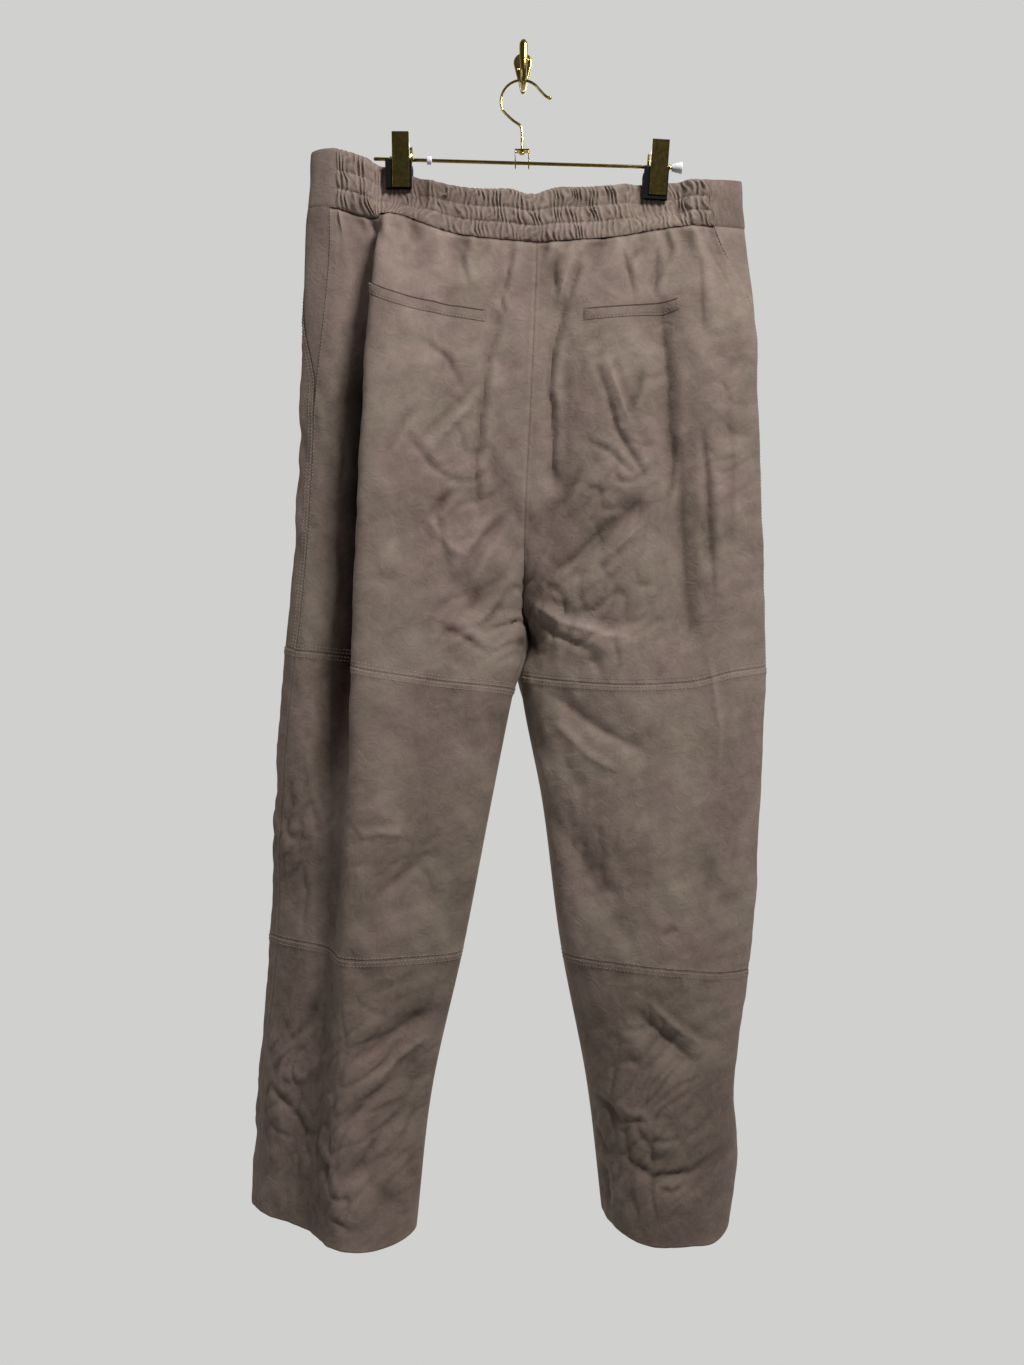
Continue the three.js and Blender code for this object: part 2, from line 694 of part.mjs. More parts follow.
// Booleans between closed geometries.
function toSolid(geometry) {
  const bare = geometry.clone();
  bare.deleteAttribute('normal');
  bare.deleteAttribute('uv');
  const merged = mergeVertices(bare, 0.0001);
  const vertProperties = new Float32Array(merged.attributes.position.array);
  const triVerts = new Uint32Array(merged.index.array);
  return new wasm.Manifold(new wasm.Mesh({ numProp: 3, vertProperties, triVerts }));
}

function toGeometry(solid) {
  const mesh = solid.getMesh();
  const geometry = new THREE.BufferGeometry();
  geometry.setAttribute('position', new THREE.Float32BufferAttribute(mesh.vertProperties, 3));
  geometry.setIndex(Array.from(mesh.triVerts));
  geometry.computeVertexNormals();
  return geometry;
}

function joined(geometries) {
  const solids = geometries.map(toSolid);
  return toGeometry(solids.reduce((whole, solid) => whole.add(solid)));
}

// A side profile, drawn with out to the right and up upwards, made solid across its width.
function acrossGeometry(shape, width, centreX) {
  const geometry = new THREE.ExtrudeGeometry(shape, { depth: width, bevelEnabled: false, curveSegments: 5 });
  const turn = new THREE.Matrix4().makeBasis(
    new THREE.Vector3(0, -1, 0),
    new THREE.Vector3(0, 0, 1),
    new THREE.Vector3(-1, 0, 0),
  );
  geometry.applyMatrix4(turn);
  geometry.translate(centreX + width / 2, 0, 0);
  return geometry;
}

function shapeOf(points) {
  return new THREE.Shape(points.map(([x, y]) => new THREE.Vector2(x, y)));
}

// How far out a jaw's outer face is at a height above the bar.
function jawOut(up) {
  return THREE.MathUtils.mapLinear(up, JAW_BOTTOM, JAW_TOP, JAW_BOTTOM_OUT, JAW_TOP_OUT);
}

// A jaw: a sloping sheet with two flanges that take the bar. The rear jaw is the mirror image, its flanges inside.
function jawGeometry(facing, flangeX) {
  const sheet = shapeOf([
    [facing * jawOut(JAW_TOP), JAW_TOP],
    [facing * (jawOut(JAW_TOP) - JAW_SHEET), JAW_TOP],
    [facing * (jawOut(JAW_BOTTOM) - JAW_SHEET), JAW_BOTTOM],
    [facing * jawOut(JAW_BOTTOM), JAW_BOTTOM],
  ]);
  const half = JAW_SHEET / 2;
  const flange = new THREE.Shape();
  flange.moveTo(facing * (jawOut(FLANGE_TOP) - half), FLANGE_TOP);
  flange.lineTo(0, BOSS_RADIUS);
  flange.absarc(0, 0, BOSS_RADIUS, Math.PI / 2, -Math.PI / 2, facing > 0 ? false : true);
  flange.lineTo(facing * (jawOut(FLANGE_BOTTOM) - half), FLANGE_BOTTOM);
  flange.closePath();
  const hole = new THREE.Path();
  hole.absarc(0, 0, CLIP_HOLE, 0, 2 * Math.PI, false);
  flange.holes.push(hole);
  const pieces = [acrossGeometry(sheet, JAW_WIDTH, 0)];
  for (const sideX of [-flangeX, flangeX]) {
    pieces.push(acrossGeometry(flange, FLANGE_SHEET, sideX));
  }
  return joined(pieces);
}

// A rubber pad fills the wedge between a jaw and the band.
function padGeometry(facing, clip) {
  const bandOut = facing > 0 ? BACK_BAND_OUT + GATHER_DEPTH - HANGER_OUT : HANGER_OUT - FRONT_BAND_OUT;
  const face = bandOut + PAD_GAP;
  const inside = (up) => jawOut(up) - JAW_SHEET - FIT_GAP;
  const bottom = JAW_BOTTOM - FIT_GAP - clip.padDrop;
  const shape = shapeOf([
    [facing * face, PAD_TOP],
    [facing * inside(PAD_TOP), PAD_TOP],
    [facing * inside(JAW_BOTTOM), JAW_BOTTOM],
    [facing * inside(JAW_BOTTOM), bottom],
    [facing * face, bottom],
  ]);
  return acrossGeometry(shape, clip.padWidth, clip.padShift);
}

// A ring or sleeve on the bar, its axis along X.
function sleeveGeometry(innerRadius, outerRadius, length, centreX) {
  const profile = [
    [innerRadius, -length / 2],
    [outerRadius, -length / 2],
    [outerRadius, length / 2],
    [innerRadius, length / 2],
    [innerRadius, -length / 2],
  ];
  return latheAlongX(profile, centreX);
}

// The cone that closes the right end of the bar, with a blind bore.
function capGeometry(bore) {
  const start = -CAP_LENGTH / 2;
  const end = CAP_LENGTH / 2;
  const profile = [
    [bore, start],
    [CAP_START_RADIUS, start],
    [CAP_END_RADIUS, end],
    [0, end + CAP_DOME],
    [0, end - CAP_WALL],
    [bore, end - CAP_WALL],
    [bore, start],
  ];
  return latheAlongX(profile, CAP_X);
}

function latheAlongX(profile, centreX) {
  const points = profile.map(([radius, along]) => new THREE.Vector2(radius, along));
  const geometry = new THREE.LatheGeometry(points, ROUND_SIDES);
  geometry.rotateZ(-Math.PI / 2);
  geometry.translate(centreX, 0, 0);
  return closedCopy(geometry);
}

// The same closed shape with shared corners, sound for booleans and for its volume.
function closedCopy(geometry) {
  const bare = geometry.clone();
  bare.deleteAttribute('normal');
  bare.deleteAttribute('uv');
  const merged = mergeVertices(bare, 0.0001);
  const index = Array.from(merged.index.array);
  const whole = [];
  for (let start = 0; start < index.length; start += 3) {
    const [a, b, c] = index.slice(start, start + 3);
    if (a !== b && b !== c && c !== a) {
      whole.push(a, b, c);
    }
  }
  return closedGeometry(Array.from(merged.attributes.position.array), whole);
}

// A wire along a curve, with a round section.
function wireGeometry(curve, radius, steps, sides) {
  const section = new THREE.Shape();
  section.absarc(0, 0, radius, 0, 2 * Math.PI, false);
  return new THREE.ExtrudeGeometry(section, { steps, extrudePath: curve, curveSegments: sides });
}

function addHanger() {
  const hanger = new THREE.Group();
  hanger.position.set(0, -HANGER_OUT, 0);
  group.add(hanger);

  // Everything on the bar shares its slope.
  const onBar = new THREE.Group();
  onBar.position.set(0, 0, -barDown(0));
  onBar.rotation.y = Math.atan(BAR_SLOPE);
  hanger.add(onBar);
  const barLength = BAR_RIGHT - BAR_LEFT;
  const bar = new THREE.CylinderGeometry(BAR_RADIUS, BAR_RADIUS, barLength, ROUND_SIDES);
  bar.rotateZ(Math.PI / 2);
  bar.translate(BAR_LEFT + barLength / 2, 0, 0);
  addMesh(onBar, 'hanger_bar', bar, brass());
  const bore = BAR_RADIUS + FIT_GAP;
  addMesh(onBar, 'bar_ring', sleeveGeometry(bore, RING_RADIUS, RING_LENGTH, RING_X), plastic());
  addMesh(onBar, 'bar_end_cap', capGeometry(bore), plastic());

  for (const clip of CLIPS) {
    const stop = sleeveGeometry(bore, STOP_RADIUS, STOP_LENGTH, clip.x - clip.loopSide * STOP_FROM_CLIP);
    addMesh(onBar, `clip_${clip.side}_stop`, stop, brass());
    addClip(hanger, clip, bore);
  }

  addHook(hanger);
}

function addClip(hanger, clip, bore) {
  const place = new THREE.Group();
  place.position.set(clip.x, 0, -barDown(clip.x));
  place.rotation.y = clip.tilt;
  hanger.add(place);
  const name = `clip_${clip.side}`;
  const outerFlange = (JAW_WIDTH - FLANGE_SHEET) / 2;
  const innerFlange = outerFlange - FLANGE_SHEET - FIT_GAP;
  addMesh(place, `${name}_front_jaw`, jawGeometry(1, outerFlange), brass());
  addMesh(place, `${name}_rear_jaw`, jawGeometry(-1, innerFlange), brass());
  addMesh(place, `${name}_front_pad`, padGeometry(1, clip), rubber());
  addMesh(place, `${name}_rear_pad`, padGeometry(-1, clip), rubber());
  addMesh(place, `${name}_spring`, sleeveGeometry(bore + SPRING_PLAY, SPRING_RADIUS, SPRING_LENGTH, 0), brass());

  // The end of the spring wire: a narrow loop that stands up beside the jaw.
  const loopX = clip.loopSide * (JAW_WIDTH / 2 + LOOP_FROM_JAW);
  const loopCurve = new THREE.CatmullRomCurve3(
    LOOP_ROUTE.map((row) => new THREE.Vector3(loopX, -row.out, row.up)),
    true,
  );
  addMesh(place, `${name}_loop`, closedCopy(wireLoop(loopCurve, LOOP_WIRE_RADIUS)), brass());
}

// A closed ring of wire in a plane of constant X.
function wireLoop(curve, radius) {
  const steps = LOOP_STEPS;
  const sides = LOOP_SIDES;
  const positions = [];
  const triangles = [];
  for (let step = 0; step < steps; step += 1) {
    const centre = curve.getPoint(step / steps);
    const tangent = curve.getTangent(step / steps);
    const across = new THREE.Vector3(1, 0, 0);
    const away = new THREE.Vector3().crossVectors(tangent, across).normalize();
    for (let side = 0; side < sides; side += 1) {
      const angle = 2 * Math.PI * side / sides;
      const point = centre.clone();
      point.addScaledVector(across, radius * Math.cos(angle));
      point.addScaledVector(away, radius * Math.sin(angle));
      positions.push(point.x, point.y, point.z);
      const next = (side + 1) % sides;
      const here = step * sides;
      const ahead = ((step + 1) % steps) * sides;
      triangles.push(here + side, here + next, ahead + next);
      triangles.push(here + side, ahead + next, ahead + side);
    }
  }
  return closedGeometry(positions, triangles);
}

// The swivel hook: a stem with a rivet head under the bracket, a round hook and a ball at its end.
function addHook(hanger) {
  const stemBottom = BRACKET_DOWN + BRACKET_SHEET + FIT_GAP;
  const centre = new THREE.Vector2(HOOK_X, -HOOK_DOWN);
  const route = STEM_ROUTE.map((row) => [HOOK_X + row.x, row.up]);
  route.unshift([HOOK_X, -stemBottom - HEAD_HEIGHT / 2]);
  for (let step = 0; step <= HOOK_ARC_STEPS; step += 1) {
    const share = step / HOOK_ARC_STEPS;
    const angle = THREE.MathUtils.degToRad(THREE.MathUtils.lerp(HOOK_FIRST_ANGLE, HOOK_LAST_ANGLE, share));
    route.push([centre.x + HOOK_RADIUS * Math.cos(angle), centre.y + HOOK_RADIUS * Math.sin(angle)]);
  }
  route.push([HOOK_BEND_X, HOOK_BEND_UP], [HOOK_TIP_X, HOOK_TIP_UP]);
  const curve = new THREE.CatmullRomCurve3(route.map(([x, up]) => new THREE.Vector3(x, 0, up)));
  const wire = wireGeometry(curve, WIRE_RADIUS, WIRE_STEPS, WIRE_SEGMENTS);
  const ball = new THREE.SphereGeometry(BALL_RADIUS, BALL_SIDES, BALL_RINGS);
  ball.translate(HOOK_TIP_X, 0, HOOK_TIP_UP);
  const head = new THREE.CylinderGeometry(HEAD_RADIUS, HEAD_RADIUS, HEAD_HEIGHT, ROUND_SIDES);
  head.rotateX(Math.PI / 2);
  head.translate(HOOK_X, 0, -stemBottom - HEAD_HEIGHT / 2);
  addMesh(hanger, 'hanger_hook', joined([wire, ball, head]), brass());

  // The bracket: a strip with a hole for the stem and two legs that take the bar.
  const strip = new THREE.Shape();
  const halfWidth = BRACKET_WIDTH / 2;
  const halfDepth = BRACKET_DEPTH / 2;
  strip.moveTo(-halfWidth, -halfDepth);
  strip.lineTo(halfWidth, -halfDepth);
  strip.lineTo(halfWidth, halfDepth);
  strip.lineTo(-halfWidth, halfDepth);
  const stemHole = new THREE.Path();
  stemHole.absarc(0, 0, WIRE_RADIUS + FIT_GAP, 0, 2 * Math.PI, false);
  strip.holes.push(stemHole);
  const top = new THREE.ExtrudeGeometry(strip, { depth: BRACKET_SHEET, bevelEnabled: false, curveSegments: 5 });
  top.translate(HOOK_X, 0, -BRACKET_DOWN - BRACKET_SHEET);
  const legs = [-1, 1].map((side) => {
    const legX = HOOK_X + side * (halfWidth - BRACKET_SHEET / 2);
    const barUp = -barDown(legX);
    const leg = shapeOf([
      [-halfDepth, -BRACKET_DOWN],
      [halfDepth, -BRACKET_DOWN],
      [halfDepth, barUp],
      [LEG_END_HALF, barUp - LEG_BELOW_BAR],
      [-LEG_END_HALF, barUp - LEG_BELOW_BAR],
      [-halfDepth, barUp],
    ]);
    const barHole = new THREE.Path();
    barHole.absarc(0, barUp, BAR_RADIUS + FIT_GAP, 0, 2 * Math.PI, false);
    leg.holes.push(barHole);
    return acrossGeometry(leg, BRACKET_SHEET, legX);
  });
  addMesh(hanger, 'hanger_bracket', joined([top, ...legs]), brass());
}

// The wall hook: a drop-shaped plate and a strap that bends forward and up, in one casting.
function plateGeometry() {
  const outline = new THREE.Shape();
  const topAngle = THREE.MathUtils.degToRad(12);
  outline.absarc(0, -PLATE_CENTRE_DOWN, PLATE_RADIUS, -topAngle, Math.PI + topAngle, false);
  outline.absarc(0, -PLATE_FOOT_DOWN, PLATE_FOOT_RADIUS, Math.PI + topAngle, 2 * Math.PI - topAngle, false);
  outline.closePath();
  const plate = new THREE.ExtrudeGeometry(outline, { depth: PLATE_THICKNESS, bevelEnabled: false, curveSegments: 9 });
  plate.rotateX(Math.PI / 2);
  return plate;
}

// Strap: a row for each section, with its place, the way it heads, its width and its thickness.
const STRAP = table(['out', 'up', 'width', 'thickness'], [
  [1.2, -9, 9, 4],
  [12, -17, 7.5, 4.6],
  [22, -26, 6.2, 5],
  [30, -31.6, 5.6, 5.2],
  [36, -33.4, 5.4, 5.2],
  [42.5, -31.4, 5.6, 5],
  [46.6, -25, 6.2, 4.6],
  [48.2, -15, 7.2, 4.2],
  [48.6, -4, 8.2, 4],
  [48.4, 3, 7.6, 4],
  [48, 6.4, 4.2, 2.6],
]);

function strapGeometry() {
  const sides = 10;
  const positions = [];
  const triangles = [];
  STRAP.forEach((row, index) => {
    const before = STRAP[Math.max(index - 1, 0)];
    const after = STRAP[Math.min(index + 1, STRAP.length - 1)];
    const heading = new THREE.Vector2(after.out - before.out, after.up - before.up).normalize();
    for (let side = 0; side < sides; side += 1) {
      const angle = 2 * Math.PI * side / sides;
      const thick = row.thickness / 2 * Math.sin(angle);
      const out = row.out - heading.y * thick;
      const up = row.up + heading.x * thick;
      positions.push(row.width / 2 * Math.cos(angle), -out, up);
    }
  });
  const last = STRAP.length - 1;
  for (let row = 0; row < last; row += 1) {
    for (let side = 0; side < sides; side += 1) {
      const next = (side + 1) % sides;
      const here = row * sides;
      const ahead = here + sides;
      triangles.push(here + side, here + next, ahead + next);
      triangles.push(here + side, ahead + next, ahead + side);
    }
  }
  for (let side = 1; side < sides - 1; side += 1) {
    triangles.push(0, side + 1, side);
    triangles.push(last * sides, last * sides + side, last * sides + side + 1);
  }
  return closedGeometry(positions, triangles);
}

function addWallHook() {
  addMesh(group, 'wall_hook', joined([plateGeometry(), strapGeometry()]), brass());
  const screws = [['upper', 4.7, 13.5], ['lower', -5, 3.6]];
  for (const [name, x, up] of screws) {
    const head = new THREE.CylinderGeometry(1.5, 2, 0.8, ROUND_SIDES);
    head.translate(x, -PLATE_THICKNESS - FIT_GAP - 0.4, up);
    addMesh(group, `wall_screw_${name}`, closedCopy(head), brass());
  }
}

addCloth();
addHanger();
addWallHook();

export default group;
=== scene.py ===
import json
import math

import bpy
import numpy as np
from bpy.props import FloatProperty, IntProperty, PointerProperty, StringProperty
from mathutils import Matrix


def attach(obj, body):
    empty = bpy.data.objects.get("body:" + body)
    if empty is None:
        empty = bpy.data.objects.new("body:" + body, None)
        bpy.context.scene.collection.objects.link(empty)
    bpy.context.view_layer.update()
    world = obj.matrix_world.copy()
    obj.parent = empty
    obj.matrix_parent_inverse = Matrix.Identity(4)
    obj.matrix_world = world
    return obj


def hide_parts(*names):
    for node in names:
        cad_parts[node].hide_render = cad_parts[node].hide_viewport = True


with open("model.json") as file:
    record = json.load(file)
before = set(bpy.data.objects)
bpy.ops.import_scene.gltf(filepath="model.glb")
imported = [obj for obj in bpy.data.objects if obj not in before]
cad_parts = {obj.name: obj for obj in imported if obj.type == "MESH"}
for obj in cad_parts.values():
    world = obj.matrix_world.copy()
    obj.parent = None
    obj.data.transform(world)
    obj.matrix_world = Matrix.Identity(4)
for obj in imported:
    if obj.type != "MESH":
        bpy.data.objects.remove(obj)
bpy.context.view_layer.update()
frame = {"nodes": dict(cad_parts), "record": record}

bl_info = {
    "name": "Suede trousers on a clip hanger",
    "version": (1, 0, 0),
    "blender": (4, 5, 0),
    "location": "3D View > Sidebar > Trousers",
    "description": "Suede trousers seen from the back, hung from a clip hanger on a wall hook",
    "category": "Object",
}

MM = 0.001

# Lengths are millimetres. "out" is the distance in front of the origin and "down" the distance below it.
SEAM_GAP = 0.08
CENTRE_GAP = 0.1
STATION_STEP = 0.02
CROTCH_DOWN = 560.0
TURN_START_DOWN = 470.0
TURN_END_DOWN = 556.0
HALVES = ("left", "right")
TOWARDS = {"left": -1.0, "right": 1.0}
CENTRE, SIDE, FRONT = 0, 4, 8

# Hanger
HANGER_OUT = 38.0
BAR_RADIUS = 1.75
BAR_LEFT = -150.0
BAR_RIGHT = 157.0
BAR_LEFT_DOWN = 106.4
BAR_SLOPE = 0.03
BACK_BAND_OUT = 40.0
FRONT_BAND_OUT = 36.0

# Centre seams and inseams. Columns: down, x, out.
BACK_SEAM = np.array([
    [100, 13, 51], [165, 13, 53], [205, 13, 57], [260, 11, 62],
    [350, 7, 66], [450, 2, 61], [520, 0, 49], [560, -1, 36],
], float)
FRONT_SEAM = np.array([
    [100, 13, 29], [205, 12, 24], [350, 6, 15], [450, 2, 14], [520, 0, 21], [560, -1, 36],
], float)
INSEAM = {
    "left": np.array([
        [560, -1, 36], [585, 3, 41], [605, -1, 44], [630, -8, 46],
        [750, -32, 48], [890, -59, 50], [1030, -90, 54], [1165, -105, 60],
    ], float),
    "right": np.array([
        [560, -1, 36], [585, 7, 33], [605, 3, 31], [630, -3, 30],
        [750, 19, 36], [890, 37, 38], [1030, 63.5, 34], [1165, 79.5, 27],
    ], float),
}

# Section points between the seams. Columns: down, then x and out at each of the stations 1 to 7.
LINES = {
    "left": np.array([
        [100, -62, 46, -132, 50, -152, 54, -190, 56, -211, 44, -186, 26, -110, 30],
        [150, -62, 47, -136, 52, -150, 54, -191, 55, -214.5, 42, -188, 25, -110, 29],
        [172, -64, 51, -140, 58, -146, 53, -192, 54, -217.5, 41, -190, 24, -110, 27],
        [200, -66, 59, -142, 66, -138, 54, -192, 52, -219, 39, -192, 22, -110, 24],
        [260, -68, 71, -149, 76, -143, 54, -198, 48, -221.5, 35, -196, 18, -110, 19],
        [350, -72, 79, -154, 84, -147, 56, -208, 44, -224.5, 30, -198, 13, -110, 13],
        [450, -76, 79, -159, 87, -152, 56, -213, 42, -229, 28, -204, 12, -112, 11],
        [560, -82, 76, -163, 89, -157, 57, -222, 42, -237, 27, -212, 12, -114, 11],
        [630, -86, 78, -165, 91, -161, 60, -231, 42, -244, 27, -218, 12, -120, 11],
        [750, -98, 80, -167, 93, -176, 68, -241, 40, -251, 26, -226, 12, -136, 11],
        [890, -113, 80, -171, 94, -190, 68, -246, 38, -256, 25, -230, 12, -156, 11],
        [1030, -130, 84, -173, 98, -203, 68, -261, 34, -268, 22, -240, 12, -172, 11],
        [1165, -138, 90, -176, 102, -210, 68, -270, 29, -277, 19, -248, 12, -182, 11],
    ], float),
    "right": np.array([
        [100, 78, 47, 132, 46, 162, 49, 184, 48, 218.5, 37, 192, 27, 120, 30],
        [150, 80, 48, 134, 47, 163, 49, 184, 48, 219.5, 36, 193, 26, 120, 29],
        [172, 82, 51, 134, 50, 166, 51, 187, 49, 221.5, 36, 194, 25, 120, 27],
        [200, 85, 60, 135, 54, 170, 56, 197, 50, 225, 35, 197, 23, 120, 24],
        [260, 90, 68, 139, 59, 180, 62, 228, 44, 233, 32, 206, 18, 120, 19],
        [350, 84, 71, 149, 64, 190, 65, 234, 39, 232, 27, 208, 13, 120, 13],
        [450, 82, 73, 156, 67, 196, 66, 238, 38, 236, 26, 212, 12, 122, 11],
        [560, 82, 72, 160, 72, 200, 68, 241, 38, 239, 26, 214, 12, 124, 11],
        [630, 82, 74, 161, 74, 202, 69, 242, 38, 240, 26, 214, 12, 126, 11],
        [750, 92, 79, 161, 79, 200, 72, 236, 39, 234, 27, 208, 12, 130, 11],
        [890, 100, 84, 158, 86, 194, 74, 227, 40, 225, 28, 200, 12, 134, 11],
        [1030, 112, 88, 156, 90, 186, 78, 209, 44, 207, 31, 184, 12, 138, 11],
        [1100, 115, 89, 156, 91, 186, 79, 212, 46, 210, 33, 186, 12, 138, 11],
        [1165, 118, 90, 155, 93, 182, 82, 202, 50, 200, 37, 178, 12, 138, 11],
    ], float),
}

# How far down each cut edge or seam lies. A level is a list of stations and a list of distances down.
NINE = [0, 1, 2, 3, 4, 5, 6, 7, 8]
LEVELS = {
    "left": {
        "waist_top": ([0, 0.16, 0.34, 0.7, 1, 1.4, 2, 3, 4, 5, 6, 7, 8],
                      [147.5, 146.5, 141.5, 140, 137.5, 131, 117.5, 113, 104, 103, 105, 126, 149]),
        "waist_seam": (NINE, [196.5, 188, 168, 171, 161.5, 158, 160, 175, 196]),
        "thigh_seam": (NINE, [638, 628, 614, 606, 598, 593, 593, 608, 638]),
        "knee_seam": (NINE, [894, 895, 892, 888, 884, 883, 883, 888, 894]),
        "hem": (NINE, [1161, 1170, 1164.5, 1163, 1160, 1160, 1159, 1160, 1161]),
    },
    "right": {
        "waist_top": ([0, 0.14, 0.3, 0.6, 1, 2, 3, 4, 5, 6, 7, 8],
                      [147.5, 143.5, 140.5, 139.5, 137, 132, 131, 131, 128, 129.5, 134, 149]),
        "waist_seam": (NINE, [196.5, 192.5, 182, 178, 178.5, 176.5, 177, 183, 196]),
        "thigh_seam": (NINE, [622, 632, 630, 620, 614, 613, 613, 619, 622]),
        "knee_seam": (NINE, [898, 901, 906, 911, 914, 914, 914, 906, 898]),
        "hem": (NINE, [1159, 1166, 1165, 1167, 1161, 1160, 1160, 1160, 1159]),
    },
}

# Largest folds of the back, as in the solids. Columns: from x, from down, to x, to down, half width, rise.
FOLDS = np.array([
    [-22, 270, -44, 470, 13, -5], [36, 260, 27, 440, 13, -4.5], [135, 262, 142, 440, 13, -6],
    [154, 400, 159, 590, 15, -6], [112, 458, 42, 530, 14, -5], [-16, 520, -58, 565, 13, -4],
    [30, 590, 104, 592, 15, 5], [22, 640, 120, 700, 16, -5], [24, 750, 100, 880, 24, -6],
    [-88, 948, -158, 992, 16, -5], [-115, 1040, -158, 1098, 16, -5], [108, 950, 160, 994, 16, -5],
    [98, 1084, 170, 1100, 16, -5],
], float)

